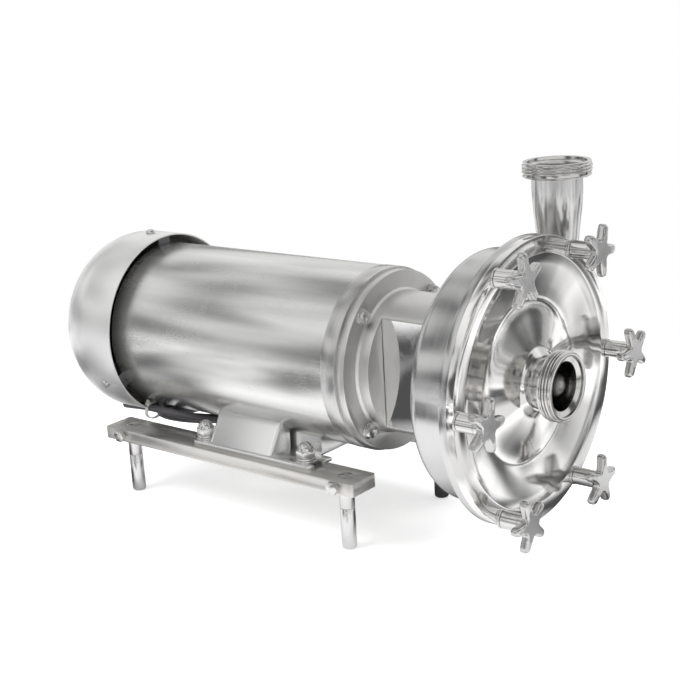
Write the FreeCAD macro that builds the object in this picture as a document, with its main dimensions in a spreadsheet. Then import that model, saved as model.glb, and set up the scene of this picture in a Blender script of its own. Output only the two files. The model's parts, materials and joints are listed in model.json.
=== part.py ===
"""Sanitary centrifugal pump with its washdown motor, lantern bracket and rails on level feet.

Everything is modelled in the pump's own frame: the shaft lies on the X axis, the front face of
the cover is at x = 0, the inlet points to +X, the outlet to +Z, and the near side is -Y.
Each body's Placement then moves it so that the origin is the middle of the foot print.
"""
import FreeCAD, Part
import math
import os
import Sketcher

Vector = FreeCAD.Vector
Rotation = FreeCAD.Rotation

# Driving dimensions, in millimetres and degrees
SIZES = {
    # whole pump
    "shaft_height": 184.0,
    "running_gap": 0.05,
    "flat_gap": 0.1,
    # casing and cover
    "flange_radius": 143.0,
    "cover_flange": 8.2,
    "casing_flange": 8.4,
    "casing_depth": 56.8,
    "drum_radius": 127.0,
    "drum_round": 12.0,
    "casing_wall": 3.0,
    "land_radius": 125.0,
    "dish_ring_radius": 80.5,
    "dish_ring_width": 3.0,
    "dish_depth": 10.0,
    "cover_sheet": 3.0,
    "spigot_length": 3.6,
    "spigot_width": 3.6,
    "gasket_width": 3.2,
    "gasket_depth": 2.6,
    # ports
    "port_radius": 25.5,
    "port_wall": 1.2,
    "port_thread_radius": 35.0,
    "port_thread_length": 15.0,
    "inlet_reach": 33.8,
    "port_seat_radius": 29.5,
    "port_seat_depth": 3.0,
    "weld_ring_width": 2.5,
    "weld_ring_height": 1.5,
    "outlet_back": 37.0,
    "outlet_side": 106.0,
    "outlet_height": 198.0,
    "neck_base_radius": 20.0,
    "neck_bore_radius": 17.4,
    "neck_cone_low": 115.0,
    "neck_cone_high": 155.0,
    # star knobs on their studs
    "knob_circle": 136.3,
    "stud_radius": 5.0,
    "stud_reach": 20.0,
    "washer_radius": 9.5,
    "washer_thick": 2.0,
    "washer_clearance": 0.3,
    "hub_radius": 8.0,
    "knob_length": 34.5,
    "star_radius": 26.5,
    "star_sweep": 2.0,
    "star_thick": 7.0,
    "arm_half_width": 3.7,
    "knob_web_radius": 11.5,
    # impeller, shaft and seal
    "impeller_radius": 96.0,
    "impeller_disc": 4.0,
    "impeller_back_gap": 8.0,
    "vane_height": 26.0,
    "vane_thick": 3.5,
    "vane_start_radius": 30.0,
    "vane_curve": 78.0,
    "vane_wrap": 62.0,
    "impeller_hub_radius": 21.0,
    "impeller_hub_front": 20.0,
    "nose_radius": 11.0,
    "nut_radius": 15.0,
    "nut_length": 24.0,
    "nut_bore_depth": 13.0,
    "nut_thread_radius": 7.0,
    "seal_shaft_radius": 14.0,
    "seal_ring_radius": 22.0,
    "seal_ring_length": 6.0,
    "seal_seat_radius": 24.0,
    "seal_seat_length": 9.0,
    "spring_radius": 20.0,
    "spring_sheet": 0.9,
    "spring_clearance": 0.3,
    "stub_hub_radius": 23.0,
    "stub_hub_length": 52.0,
    # lantern bracket
    "lantern_length": 98.8,
    "lantern_radius": 74.0,
    "lantern_wall": 10.0,
    "lantern_front_plate": 10.0,
    "bracket_flange": 10.2,
    "bracket_flange_radius": 95.0,
    "bracket_bead": 2.5,
    "window_back": 149.0,
    "window_wall": 8.0,
    "window_side": 45.5,
    "guard_thick": 2.0,
    "guard_clearance": 0.5,
    "bracket_bolt_circle": 85.0,
    "bracket_bolt_radius": 4.0,
    "bracket_bolt_head": 7.5,
    "bracket_bolt_head_height": 5.3,
    "bracket_washer_radius": 8.5,
    "bracket_washer_thick": 1.6,
    # motor
    "end_bell_ring": 18.0,
    "end_bell_radius": 97.5,
    "end_bell_web": 8.0,
    "end_bell_spigot_radius": 60.0,
    "end_bell_spigot": 3.5,
    "register_depth": 11.0,
    "body_radius": 97.0,
    "body_length": 311.0,
    "body_wall": 3.0,
    "bearing_bore": 15.0,
    "bearing_outside": 31.0,
    "bearing_width": 16.0,
    "bearing_pitch": 23.0,
    "ball_radius": 4.2,
    "race_half_gap": 3.2,
    "hub_wall": 9.0,
    "shaft_end_radius": 14.0,
    "shaft_end_length": 60.0,
    "shaft_core_radius": 19.0,
    "shaft_tail_radius": 12.0,
    "shaft_tail_length": 72.0,
    "shaft_passage": 17.0,
    "core_length": 140.0,
    "core_middle": 345.0,
    "stator_bore": 52.0,
    "air_gap": 0.5,
    "winding_outer": 86.0,
    "winding_inner": 59.0,
    "winding_length": 28.0,
    "cowl_radius": 108.0,
    "cowl_sheet": 1.5,
    "cowl_overlap": 7.0,
    "cowl_length": 120.0,
    "cowl_round": 70.0,
    "cowl_dome": 6.0,
    "cowl_slot_inner": 14.0,
    "cowl_slot_outer": 34.0,
    "cowl_slot_width": 5.0,
    "cowl_screw_back": 29.0,
    "cowl_screw_radius": 3.0,
    "cowl_screw_head": 5.6,
    "cowl_screw_head_height": 3.6,
    "lug_half_width": 9.0,
    "fan_radius": 86.0,
    "fan_hub_radius": 22.0,
    "fan_disc": 3.0,
    "fan_blade_height": 24.0,
    "fan_blade_thick": 3.0,
    "fan_gap": 45.0,
    # motor feet on the rails
    "foot_plate": 4.0,
    "foot_front": 216.0,
    "foot_back": 388.0,
    "foot_outer": 95.0,
    "foot_corner": 7.0,
    "foot_wall": 3.0,
    "pedestal_front": 273.0,
    "pedestal_back": 366.0,
    "pedestal_bottom_outer": 90.5,
    "pedestal_top_outer": 69.4,
    "pedestal_inner": 58.0,
    "bridge_front": 235.0,
    "bridge_side": 51.0,
    "foot_bolt_front": 233.0,
    "foot_bolt_back": 379.0,
    "foot_bolt_side": 80.0,
    "foot_slot_radius": 7.0,
    "foot_stud_radius": 6.0,
    "foot_washer_radius": 12.0,
    "foot_washer_thick": 2.0,
    "lock_washer_radius": 10.4,
    "lock_washer_thick": 2.2,
    "acorn_hex": 10.6,
    "acorn_hex_height": 8.0,
    "acorn_dome_radius": 8.6,
    # rails and level feet
    "rail_front": 153.5,
    "rail_length": 368.0,
    "rail_width": 40.0,
    "rail_thick": 14.0,
    "rail_side": 84.0,
    "rail_round": 3.0,
    "rail_top_drop": 103.4,
    "leg_front": 177.0,
    "leg_spacing": 318.0,
    "leg_radius": 8.0,
    "leg_collar": 21.0,
    "leg_stud_radius": 5.0,
    "leg_slot_width": 2.0,
    "leg_slot_depth": 2.0,
    "foot_floor": 7.4,
    "stud_end_gap": 2.2,
    "foot_edge_round": 3.0,
    "set_bolt_radius": 4.0,
    "set_bolt_head": 7.5,
    "set_bolt_head_height": 5.3,
    # terminal box and cable
    "box_front": 370.0,
    "box_length": 96.0,
    "box_half_height": 40.0,
    "box_side": 134.0,
    "box_cover": 3.0,
    "box_wall": 4.0,
    "gland_radius": 12.0,
    "gland_length": 16.0,
    "gland_height": 12.0,
    "gland_side": 118.0,
    "cable_radius": 4.5,
    "coil_middle_back": 440.0,
    "coil_half_width": 73.5,
    "coil_half_length": 50.0,
    "coil_turned": 25.0,
    "coil_turns": 3.0,
    "coil_sag": 4.0,
    "tie_angle": 238.0,
    "tie_width": 3.6,
    "tie_thick": 1.2,
}

# Where the six star knobs stand, in degrees from +Z towards +Y, and how each was left turned
KNOBS = [(30, 22), (330, -5), (270, 18), (210, -16), (150, 9), (90, -18)]
STAR_ARMS = 5
VANES = 6
BALLS = 8
FAN_BLADES = 6
COWL_SLOTS = 12
BOLT_ANGLES = (45, 135, 225, 315)
COWL_SCREW_ANGLES = (0, 120, 240)

doc = FreeCAD.newDocument("sanitary_pump")
sheet = doc.addObject("Spreadsheet::Sheet", "Sizes")
for row, (word, number) in enumerate(SIZES.items(), start=1):
    sheet.set("A%d" % row, word)
    sheet.set("B%d" % row, str(number))
    sheet.setAlias("B%d" % row, word)
doc.recompute()


class Size:
    """A length that knows both its number and its formula over the sheet."""

    def __init__(self, number, formula):
        self.number = float(number)
        self.formula = formula

    def __add__(self, other):
        other = as_size(other)
        return Size(self.number + other.number, "(%s + %s)" % (self.formula, other.formula))

    def __sub__(self, other):
        other = as_size(other)
        return Size(self.number - other.number, "(%s - %s)" % (self.formula, other.formula))

    def __mul__(self, other):
        other = as_size(other)
        return Size(self.number * other.number, "(%s * %s)" % (self.formula, other.formula))

    def __truediv__(self, other):
        other = as_size(other)
        return Size(self.number / other.number, "(%s / %s)" % (self.formula, other.formula))

    def __radd__(self, other):
        return as_size(other) + self

    def __rsub__(self, other):
        return as_size(other) - self

    def __rmul__(self, other):
        return as_size(other) * self

    def __neg__(self):
        return Size(-self.number, "(0 - %s)" % self.formula)


def as_size(value):
    """A plain number as a Size."""
    if isinstance(value, Size):
        return value
    return Size(value, "%.9f" % value)


def size(word):
    """A driving dimension from the sheet."""
    return Size(SIZES[word], "Sizes.%s" % word)


def leg_of(hypotenuse, side):
    """The other side of a right triangle."""
    hypotenuse = as_size(hypotenuse)
    side = as_size(side)
    number = math.sqrt(hypotenuse.number ** 2 - side.number ** 2)
    return Size(number, "sqrt(%s ^ 2 - %s ^ 2)" % (hypotenuse.formula, side.formula))


def bind(thing, prop, value):
    """Ties one property of an object to the sheet."""
    thing.setExpression(prop, as_size(value).formula)


# Places along the shaft, worked out from the driving dimensions
running = size("running_gap")
parting = -size("cover_flange")
casing_rear = parting - size("casing_flange")
drum_back = parting - size("casing_depth")
bracket_face = drum_back - size("lantern_length")
motor_face = bracket_face - size("bracket_flange")
body_front = motor_face - size("end_bell_ring")
body_back = body_front - size("body_length")
cowl_front = body_back + size("cowl_overlap")
cowl_back = cowl_front - size("cowl_length")
rail_top = -size("rail_top_drop")
rail_bottom = rail_top - size("rail_thick")
foot_top = rail_bottom - size("leg_collar")
origin_shift = -(cowl_back + size("knob_length")) / 2
shift = (origin_shift, as_size(0), size("shaft_height"))

finished = []


def finish(thing, label, at=(0, 0, 0), turn=None):
    """Names a sub-part and places it in the frame of the whole pump."""
    thing.Label = label
    if turn is not None:
        thing.Placement = FreeCAD.Placement(Vector(0, 0, 0), turn)
    for prop, base, move in zip("xyz", shift, at):
        bind(thing, "Placement.Base.%s" % prop, base + move)
    finished.append(thing)
    return thing


def origin_item(body, role):
    """One of a body's own origin planes or axes."""
    return next(item for item in body.Origin.OriginFeatures if item.Role == role)


def new_sketch(body, name, plane, offset=0):
    """A sketch on one of the body's origin planes, moved along the plane's normal."""
    sketch = body.newObject("Sketcher::SketchObject", name)
    sketch.AttachmentSupport = [(origin_item(body, plane), "")]
    sketch.MapMode = "FlatFace"
    offset = as_size(offset)
    sketch.AttachmentOffset = FreeCAD.Placement(Vector(0, 0, offset.number), Rotation())
    bind(sketch, "AttachmentOffset.Base.z", offset)
    return sketch


def arc_centre(start, end, radius, side):
    """Centre of the short arc between two points, on the given side of the way from start to end."""
    middle = (start + end) * 0.5
    along = end - start
    across = Vector(-along.y, along.x, 0).normalize()
    return middle + across * (side * math.sqrt(max(radius ** 2 - (along.Length / 2) ** 2, 0.0)))


def draw_outline(sketch, outline):
    """Draws a closed outline whose corners, and the radii of its arcs, are tied to the sheet.

    Each corner is (u, v) for a straight edge to the next corner, or (u, v, radius, side) for an
    arc with its centre on the left (side 1) or right (side -1) of the way to the next corner.
    """
    corners = [tuple(as_size(value) for value in corner[:2]) for corner in outline]
    points = [Vector(u.number, v.number, 0) for u, v in corners]
    ends = []
    for index, corner in enumerate(outline):
        start = points[index]
        end = points[(index + 1) % len(points)]
        if len(corner) == 2:
            edge = sketch.addGeometry(Part.LineSegment(start, end), False)
            ends.append((edge, 1, 2))
            continue
        radius = as_size(corner[2])
        centre = arc_centre(start, end, radius.number, corner[3])
        from_point, to_point = (start, end) if corner[3] > 0 else (end, start)
        from_angle = math.atan2(from_point.y - centre.y, from_point.x - centre.x)
        to_angle = math.atan2(to_point.y - centre.y, to_point.x - centre.x)
        if to_angle < from_angle:
            to_angle += 2 * math.pi
        circle = Part.Circle(centre, Vector(0, 0, 1), radius.number)
        edge = sketch.addGeometry(Part.ArcOfCircle(circle, from_angle, to_angle), False)
        ends.append((edge, 1, 2) if corner[3] > 0 else (edge, 2, 1))
        row = sketch.addConstraint(Sketcher.Constraint("Radius", edge, radius.number))
        bind(sketch, "Constraints[%d]" % row, radius)
    for index, (edge, first, last) in enumerate(ends):
        following = ends[(index + 1) % len(ends)]
        sketch.addConstraint(Sketcher.Constraint("Coincident", edge, last, following[0], following[1]))
        for kind, value in zip(("DistanceX", "DistanceY"), corners[index]):
            row = sketch.addConstraint(Sketcher.Constraint(kind, -1, 1, edge, first, value.number))
            bind(sketch, "Constraints[%d]" % row, value)


def draw_circle(sketch, u, v, radius):
    """Draws a circle whose place and radius are tied to the sheet."""
    u, v, radius = (as_size(value) for value in (u, v, radius))
    circle = Part.Circle(Vector(u.number, v.number, 0), Vector(0, 0, 1), radius.number)
    edge = sketch.addGeometry(circle, False)
    for kind, value in (("DistanceX", u), ("DistanceY", v)):
        row = sketch.addConstraint(Sketcher.Constraint(kind, -1, 1, edge, 3, value.number))
        bind(sketch, "Constraints[%d]" % row, value)
    row = sketch.addConstraint(Sketcher.Constraint("Radius", edge, radius.number))
    bind(sketch, "Constraints[%d]" % row, radius)


def new_body(name):
    """An empty body."""
    return doc.addObject("PartDesign::Body", name)


def turn_outline(body, name, outline, kind="PartDesign::Revolution"):
    """Turns an outline of (x, radius) corners about the shaft line."""
    sketch = new_sketch(body, name + "_outline", "XZ_Plane")
    draw_outline(sketch, outline)
    feature = body.newObject(kind, name)
    feature.Profile = sketch
    feature.ReferenceAxis = (sketch, ["H_Axis"])
    feature.Angle = 360.0
    return feature


def turned(name, outline, at=(0, 0, 0), turn=None):
    """A sub-part turned about the shaft line."""
    body = new_body(name)
    turn_outline(body, name + "_turned", outline)
    return finish(body, name, at, turn)


def sleeve(name, back, front, inner, outer, at=(0, 0, 0)):
    """A plain ring about the shaft line."""
    return turned(name, [(back, inner), (front, inner), (front, outer), (back, outer)], at)


def extrude(body, name, plane, outline, start, length, kind="PartDesign::Pad"):
    """Pads or pockets an outline from start, over length, along the plane's normal."""
    sketch = new_sketch(body, name + "_outline", plane, start)
    draw_outline(sketch, outline)
    return extrude_sketch(body, name, sketch, length, kind)


def extrude_sketch(body, name, sketch, length, kind="PartDesign::Pad"):
    """Pads or pockets a sketch towards its normal; a pocket cuts the other way unless reversed."""
    feature = body.newObject(kind, name)
    feature.Profile = sketch
    feature.Reversed = kind == "PartDesign::Pocket"
    feature.Length = as_size(length).number
    bind(feature, "Length", length)
    return feature


def repeat_round(body, features, count, axis="X_Axis"):
    """Repeats features evenly round one of the body's own axes."""
    pattern = body.newObject("PartDesign::PolarPattern", body.Name + "_pattern")
    pattern.Originals = features
    pattern.Axis = (origin_item(body, axis), [""])
    pattern.Angle = 360.0
    pattern.Occurrences = count
    body.Tip = pattern
    return pattern


def rod(name, radius, length, at, direction="X"):
    """A plain cylinder that starts at a point and runs towards +X, +Y or +Z."""
    turns = {"X": Rotation(Vector(0, 1, 0), 90), "Y": Rotation(Vector(1, 0, 0), -90), "Z": Rotation()}
    cylinder = doc.addObject("Part::Cylinder", name)
    cylinder.Placement = FreeCAD.Placement(Vector(0, 0, 0), turns[direction])
    bind(cylinder, "Radius", radius)
    bind(cylinder, "Height", length)
    for prop, value in zip("xyz", at):
        bind(cylinder, "Placement.Base.%s" % prop, value)
    return cylinder


def hexagon(name, radius, length, at, direction="X"):
    """A six-sided prism that starts at a point and runs towards +X, +Y or +Z."""
    turns = {"X": Rotation(Vector(0, 1, 0), 90), "Y": Rotation(Vector(1, 0, 0), -90), "Z": Rotation()}
    prism = doc.addObject("Part::Prism", name)
    prism.Polygon = 6
    prism.Placement = FreeCAD.Placement(Vector(0, 0, 0), turns[direction])
    bind(prism, "Circumradius", radius)
    bind(prism, "Height", length)
    for prop, value in zip("xyz", at):
        bind(prism, "Placement.Base.%s" % prop, value)
    return prism


def block(name, low, high):
    """A box between two opposite corners."""
    box = doc.addObject("Part::Box", name)
    for prop, edge, start, end in zip("xyz", ("Length", "Width", "Height"), low, high):
        bind(box, "Placement.Base.%s" % prop, start)
        bind(box, edge, as_size(end) - start)
    return box


def cut(name, base, tool):
    """One solid less another."""
    feature = doc.addObject("Part::Cut", name)
    feature.Base = base
    feature.Tool = tool
    return feature


def joined(name, shapes):
    """Several solids that touch, as one."""
    feature = doc.addObject("Part::MultiFuse", name)
    feature.Shapes = shapes
    return feature


def group(name, solids):
    """Separate solids that share one sub-part."""
    feature = doc.addObject("Part::Compound", name)
    feature.Links = solids
    return finish(feature, name)


def on_circle(radius, angle):
    """Side and height of a point at an angle from +Z towards +Y."""
    return radius * math.sin(math.radians(angle)), radius * math.cos(math.radians(angle))


def make_casing():
    """The pump casing: flange, drum with a rounded rear edge, and back wall."""
    outer = size("drum_radius")
    inner = outer - size("casing_wall")
    big_round = size("drum_round")
    small_round = big_round - size("casing_wall")
    wall_front = drum_back + size("casing_wall")
    groove_low = inner + 1.2
    groove_high = groove_low + size("gasket_width")
    groove_floor = parting - size("gasket_depth")
    body = new_body("casing")
    turn_outline(body, "casing_turned", [
        (parting, inner),
        (parting, groove_low),
        (groove_floor, groove_low),
        (groove_floor, groove_high),
        (parting, groove_high),
        (parting, size("flange_radius")),
        (casing_rear, size("flange_radius")),
        (casing_rear, outer),
        (drum_back + big_round, outer, big_round, 1),
        (drum_back, outer - big_round),
        (drum_back, size("seal_seat_radius") + running),
        (wall_front, size("seal_seat_radius") + running),
        (wall_front, inner - small_round, small_round, -1),
        (wall_front + small_round, inner),
    ])
    outlet = new_sketch(body, "outlet_opening_outline", "XY_Plane")
    draw_circle(outlet, -size("outlet_back"), size("outlet_side"), size("neck_bore_radius"))
    extrude_sketch(body, "outlet_opening", outlet, size("drum_radius"), "PartDesign::Pocket")
    stud = new_sketch(body, "stud_hole_outline", "YZ_Plane", casing_rear)
    side, height = on_circle(size("knob_circle"), KNOBS[0][0])
    draw_circle(stud, side, height, size("stud_radius") + running)
    hole = extrude_sketch(body, "stud_hole", stud, size("casing_flange"), "PartDesign::Pocket")
    repeat_round(body, [hole], len(KNOBS))
    finish(body, "casing")


def make_outlet():
    """The outlet: a neck that narrows to the drum and is cut to sit on it, and its ferrule."""
    top = size("outlet_height")
    ferrule_low = top - size("port_thread_length")
    outer = size("port_radius")
    bore = outer - size("port_wall")
    at = (-size("outlet_back"), size("outlet_side"), 0)
    neck = new_body("neck_blank")
    low = size("drum_round")
    cone_low = size("neck_cone_low")
    cone_high = size("neck_cone_high")
    turn_outline(neck, "neck_turned", [
        (-low, size("neck_bore_radius")),
        (-low, size("neck_base_radius")),
        (-cone_low, size("neck_base_radius")),
        (-cone_high, outer),
        (-ferrule_low, outer),
        (-ferrule_low, bore),
        (-cone_high, bore),
        (-cone_low, size("neck_bore_radius")),
    ])
    neck.Placement = FreeCAD.Placement(Vector(0, 0, 0), Rotation(Vector(0, 1, 0), 90))
    for prop, value in zip("xyz", at):
        bind(neck, "Placement.Base.%s" % prop, value)
    drum = rod("neck_saddle", size("drum_radius"), size("casing_depth") * 2, (drum_back * 2, 0, 0))
    finish(cut("outlet_neck", neck, drum), "outlet_neck")
    turned("outlet_ferrule", [
        (-ferrule_low, bore),
        (-ferrule_low, size("port_thread_radius")),
        (-top, size("port_thread_radius")),
        (-top, size("port_seat_radius")),
        (size("port_seat_depth") - top, size("port_seat_radius")),
        (size("port_seat_depth") * 1.6 - top, bore),
    ], at, Rotation(Vector(0, 1, 0), 90))


def make_cover():
    """The dished cover: a flat flange ring, a slope back to the dish ring and a rise to the neck."""
    port = size("port_radius") + running
    collar = port + size("weld_ring_width")
    sheet_thick = size("cover_sheet")
    ring = size("dish_ring_radius")
    ring_outer = ring + size("dish_ring_width")
    depth = size("dish_depth")
    spigot_outer = size("drum_radius") - size("casing_wall") - running
    spigot_inner = spigot_outer - size("spigot_width")
    spigot_end = parting - size("spigot_length")
    collar_front = size("weld_ring_height")
    body = new_body("cover")
    turn_outline(body, "cover_turned", [
        (0, size("flange_radius")),
        (0, size("land_radius")),
        (-depth, ring_outer),
        (-depth, ring),
        (0, collar),
        (collar_front, collar),
        (collar_front, port),
        (-sheet_thick * 1.2, port),
        (-sheet_thick - depth, ring),
        (-sheet_thick - depth, ring_outer),
        (-sheet_thick, spigot_inner),
        (spigot_end, spigot_inner),
        (spigot_end, spigot_outer),
        (parting, spigot_outer),
        (parting, size("flange_radius")),
    ])
    stud = new_sketch(body, "stud_hole_outline_cover", "YZ_Plane", parting)
    side, height = on_circle(size("knob_circle"), KNOBS[0][0])
    draw_circle(stud, side, height, size("stud_radius") + size("washer_clearance"))
    hole = extrude_sketch(body, "cover_stud_hole", stud, size("cover_flange"), "PartDesign::Pocket")
    repeat_round(body, [hole], len(KNOBS))
    finish(body, "cover")


def make_inlet():
    """The inlet: a short tube in the cover's collar with the threaded male end."""
    front = size("inlet_reach")
    thread_back = front - size("port_thread_length")
    outer = size("port_radius")
    bore = outer - size("port_wall")
    seat = size("port_seat_depth")
    turned("inlet_ferrule", [
        (-size("cover_sheet") * 1.2, bore),
        (-size("cover_sheet") * 1.2, outer),
        (thread_back - 2, outer),
        (thread_back, size("port_thread_radius")),
        (front, size("port_thread_radius")),
        (front, size("port_seat_radius")),
        (front - seat, size("port_seat_radius")),
        (front - seat * 1.6, bore),
    ])


def make_gasket():
    """The ring gasket in the groove of the casing flange."""
    low = size("drum_radius") - size("casing_wall") + 1.2
    sleeve("cover_gasket", parting - size("gasket_depth"), parting, low, low + size("gasket_width"))


def make_cover_studs():
    """The six studs in the casing flange that the cover hangs on."""
    studs = []
    for index, (angle, _) in enumerate(KNOBS, start=1):
        side, height = on_circle(size("knob_circle"), angle)
        length = size("stud_reach") - casing_rear
        studs.append(rod("cover_stud_%d" % index, size("stud_radius"), length, (casing_rear, side, height)))
    group("cover_studs", studs)


def star_outline():
    """Outline of the star, its arms swept to a rounded tip: (side, height) corners with arcs."""
    half = size("arm_half_width")
    reach = size("star_radius") - half
    root = size("knob_web_radius")
    step = 360.0 / STAR_ARMS
    corners = []
    for arm in range(STAR_ARMS):
        angle = math.radians(step * arm)
        out = (math.sin(angle), math.cos(angle))
        side = (math.cos(angle), -math.sin(angle))
        left = (reach * out[0] - half * side[0], reach * out[1] - half * side[1])
        right = (reach * out[0] + half * side[0], reach * out[1] + half * side[1])
        valley = math.radians(step * (arm + 0.5))
        corners.append(left + (half * 1.001, -1))
        corners.append(right)
        first = valley - math.radians(12)
        second = valley + math.radians(12)
        corners.append((root * math.sin(first), root * math.cos(first), root * 0.6, 1))
        corners.append((root * math.sin(second), root * math.cos(second)))
    return corners


def make_knob(index, angle, turn):
    """A star knob: a turned hub with a threaded bore, and five arms swept back to the cover."""
    name = "knob_%d" % index
    base = size("washer_thick") + size("flat_gap")
    hub = size("hub_radius")
    bore = size("stud_radius") + running
    bore_end = size("stud_reach") + 1.5
    front = size("knob_length")
    star_back = front - size("star_thick")
    reach = size("star_radius") + 2
    sweep = size("star_sweep")
    body = new_body(name)
    turn_outline(body, name + "_star", [
        (star_back, 0),
        (front, 0),
        (front, hub * 0.7),
        (front - sweep, reach),
        (star_back - sweep, reach),
        (star_back, hub * 0.7),
    ])
    frame_size = size("star_radius") * 1.5
    outside = new_sketch(body, name + "_outside", "YZ_Plane")
    draw_circle(outside, 0, 0, frame_size)
    draw_outline(outside, star_outline())
    extrude_sketch(body, name + "_between_arms", outside, front * 2, "PartDesign::Pocket")
    turn_outline(body, name + "_hub", [
        (base, bore),
        (base, hub),
        (front - 1, hub),
        (front - 1, 0),
        (bore_end, 0),
        (bore_end, bore),
    ])
    side, height = on_circle(size("knob_circle"), angle)
    finish(body, name, (0, side, height), Rotation(Vector(1, 0, 0), -turn))


def make_knob_washer(index, angle):
    """The washer between a knob and the cover."""
    side, height = on_circle(size("knob_circle"), angle)
    inner = size("stud_radius") + size("washer_clearance")
    sleeve("knob_washer_%d" % index, 0, size("washer_thick"), inner, size("washer_radius"), (0, side, height))


def make_impeller():
    """The semi-open impeller: hub, back disc and backward curved vanes."""
    disc_back = drum_back + size("casing_wall") + size("impeller_back_gap")
    disc_front = disc_back + size("impeller_disc")
    vane_front = disc_front + size("vane_height")
    hub = size("impeller_hub_radius")
    nose = size("nose_radius") + running
    body = new_body("impeller")
    turn_outline(body, "impeller_turned", [
        (disc_back, nose),
        (-size("impeller_hub_front"), nose),
        (-size("impeller_hub_front"), hub * 0.8),
        (disc_front, hub),
        (disc_front, size("impeller_radius")),
        (disc_back, size("impeller_radius")),
    ])
    start = size("vane_start_radius")
    end = size("impeller_radius") - 1
    half_turn = math.degrees(size("vane_thick").number / end.number)
    wrap = size("vane_wrap").number
    inner_low = on_circle(start, 0)
    inner_high = on_circle(start + size("vane_thick"), 0)
    outer_low = on_circle(end, wrap + half_turn)
    outer_high = on_circle(end, wrap - half_turn)
    vane = extrude(body, "vane", "YZ_Plane", [
        inner_low + (size("vane_curve"), -1),
        outer_low,
        outer_high + (size("vane_curve") - size("vane_thick") * 0.2, 1),
        inner_high,
    ], disc_front - 1, size("vane_height") + 1)
    repeat_round(body, [vane], VANES)
    finish(body, "impeller")
    return vane_front


def make_impeller_nut():
    """The domed nut that holds the impeller on the shaft."""
    back = -size("impeller_hub_front")
    front = back + size("nut_length")
    outer = size("nut_radius")
    bore = size("nut_thread_radius") + running
    blank = new_body("nut_blank")
    turn_outline(blank, "nut_turned", [
        (back, bore),
        (back, outer),
        (back + size("nut_length") * 0.4, outer, outer * 1.25, -1),
        (front, outer * 0.15),
        (front, 0),
        (back + size("nut_bore_depth"), 0),
        (back + size("nut_bore_depth"), bore),
    ])
    flats = hexagon("nut_flats", outer, size("nut_length"), (back, 0, 0))
    nut = doc.addObject("Part::Common", "impeller_nut")
    nut.Base = blank
    nut.Tool = flats
    finish(nut, "impeller_nut")


def make_pump_shaft():
    """The stub shaft that clamps on the motor shaft and carries seal, impeller and nut."""
    socket_end = motor_face + size("shaft_end_length")
    hub_back = motor_face + 6
    hub_front = hub_back + size("stub_hub_length")
    shoulder = drum_back + size("casing_wall") + size("impeller_back_gap")
    socket = size("shaft_end_radius") + running
    nut_end = -size("impeller_hub_front") + size("nut_bore_depth") - 1
    turned("pump_shaft", [
        (hub_back, socket),
        (hub_back, size("stub_hub_radius")),
        (hub_front, size("stub_hub_radius")),
        (hub_front + 8, size("seal_shaft_radius") + 4),
        (drum_back - size("seal_seat_length") - 4, size("seal_shaft_radius") + 4),
        (drum_back - size("seal_seat_length") - 4, size("seal_shaft_radius")),
        (shoulder, size("seal_shaft_radius")),
        (shoulder, size("nose_radius")),
        (-size("impeller_hub_front"), size("nose_radius")),
        (-size("impeller_hub_front"), size("nut_thread_radius")),
        (nut_end, size("nut_thread_radius")),
        (nut_end, 0),
        (socket_end + 1, 0),
        (socket_end + 1, socket),
    ])


def make_seal():
    """The mechanical seal: a stationary ring in the casing, a turning ring and its coned disc spring."""
    wall_front = drum_back + size("casing_wall")
    shaft = size("seal_shaft_radius")
    seat_back = wall_front - size("seal_seat_length")
    sleeve("seal_stationary_ring", seat_back, wall_front, shaft + 2, size("seal_seat_radius"))
    ring_back = wall_front + size("flat_gap")
    ring_front = ring_back + size("seal_ring_length") * 0.6
    sleeve("seal_rotating_ring", ring_back, ring_front, shaft + running, size("seal_ring_radius"))
    front = wall_front + size("impeller_back_gap")
    middle = (ring_front + front) / 2
    sheet_thick = size("spring_sheet")
    low = shaft + size("spring_clearance")
    high = size("spring_radius")
    turned("seal_spring", [
        (ring_front, high),
        (ring_front + sheet_thick, high),
        (middle, low + sheet_thick * 1.5),
        (front - sheet_thick, high),
        (front, high),
        (middle + sheet_thick / 2, low),
        (middle - sheet_thick / 2, low),
    ])


def make_lantern():
    """The cast lantern bracket between casing and motor, with a window on each side."""
    outer = size("lantern_radius")
    inner = outer - size("lantern_wall")
    plate_back = drum_back - size("lantern_front_plate")
    bead = size("bracket_bead")
    spigot = size("end_bell_spigot_radius") + running
    body = new_body("lantern_bracket")
    turn_outline(body, "lantern_turned", [
        (motor_face, spigot),
        (motor_face, size("bracket_flange_radius")),
        (bracket_face, size("bracket_flange_radius")),
        (bracket_face, outer + bead),
        (bracket_face + bead, outer),
        (drum_back, outer),
        (drum_back, size("seal_seat_radius") + running),
        (plate_back, size("seal_seat_radius") + running),
        (plate_back, inner),
        (-size("window_back"), inner),
        (-size("window_back"), size("window_side") - 1),
        (-size("window_back") - size("window_wall"), size("window_side") - 1),
        (-size("window_back") - size("window_wall"), inner),
        (motor_face + size("end_bell_spigot") + 2, inner),
        (motor_face + size("end_bell_spigot") + 2, spigot),
    ])
    window_front = plate_back
    window_back = -size("window_back")
    for side, name in ((-1, "near_window"), (1, "far_window")):
        near = size("window_side") * side
        far = outer * 1.1 * side
        extrude(body, name, "YZ_Plane", [
            (near, -outer),
            (far, -outer),
            (far, outer),
            (near, outer),
        ], window_back, window_front - window_back, "PartDesign::Pocket")
    bolt = new_sketch(body, "bracket_hole_outline", "YZ_Plane", motor_face)
    side, height = on_circle(size("bracket_bolt_circle"), BOLT_ANGLES[0])
    draw_circle(bolt, side, height, size("bracket_bolt_radius") + 0.5)
    hole = extrude_sketch(body, "bracket_hole", bolt, size("bracket_flange"), "PartDesign::Pocket")
    repeat_round(body, [hole], len(BOLT_ANGLES))
    finish(body, "lantern_bracket")


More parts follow.
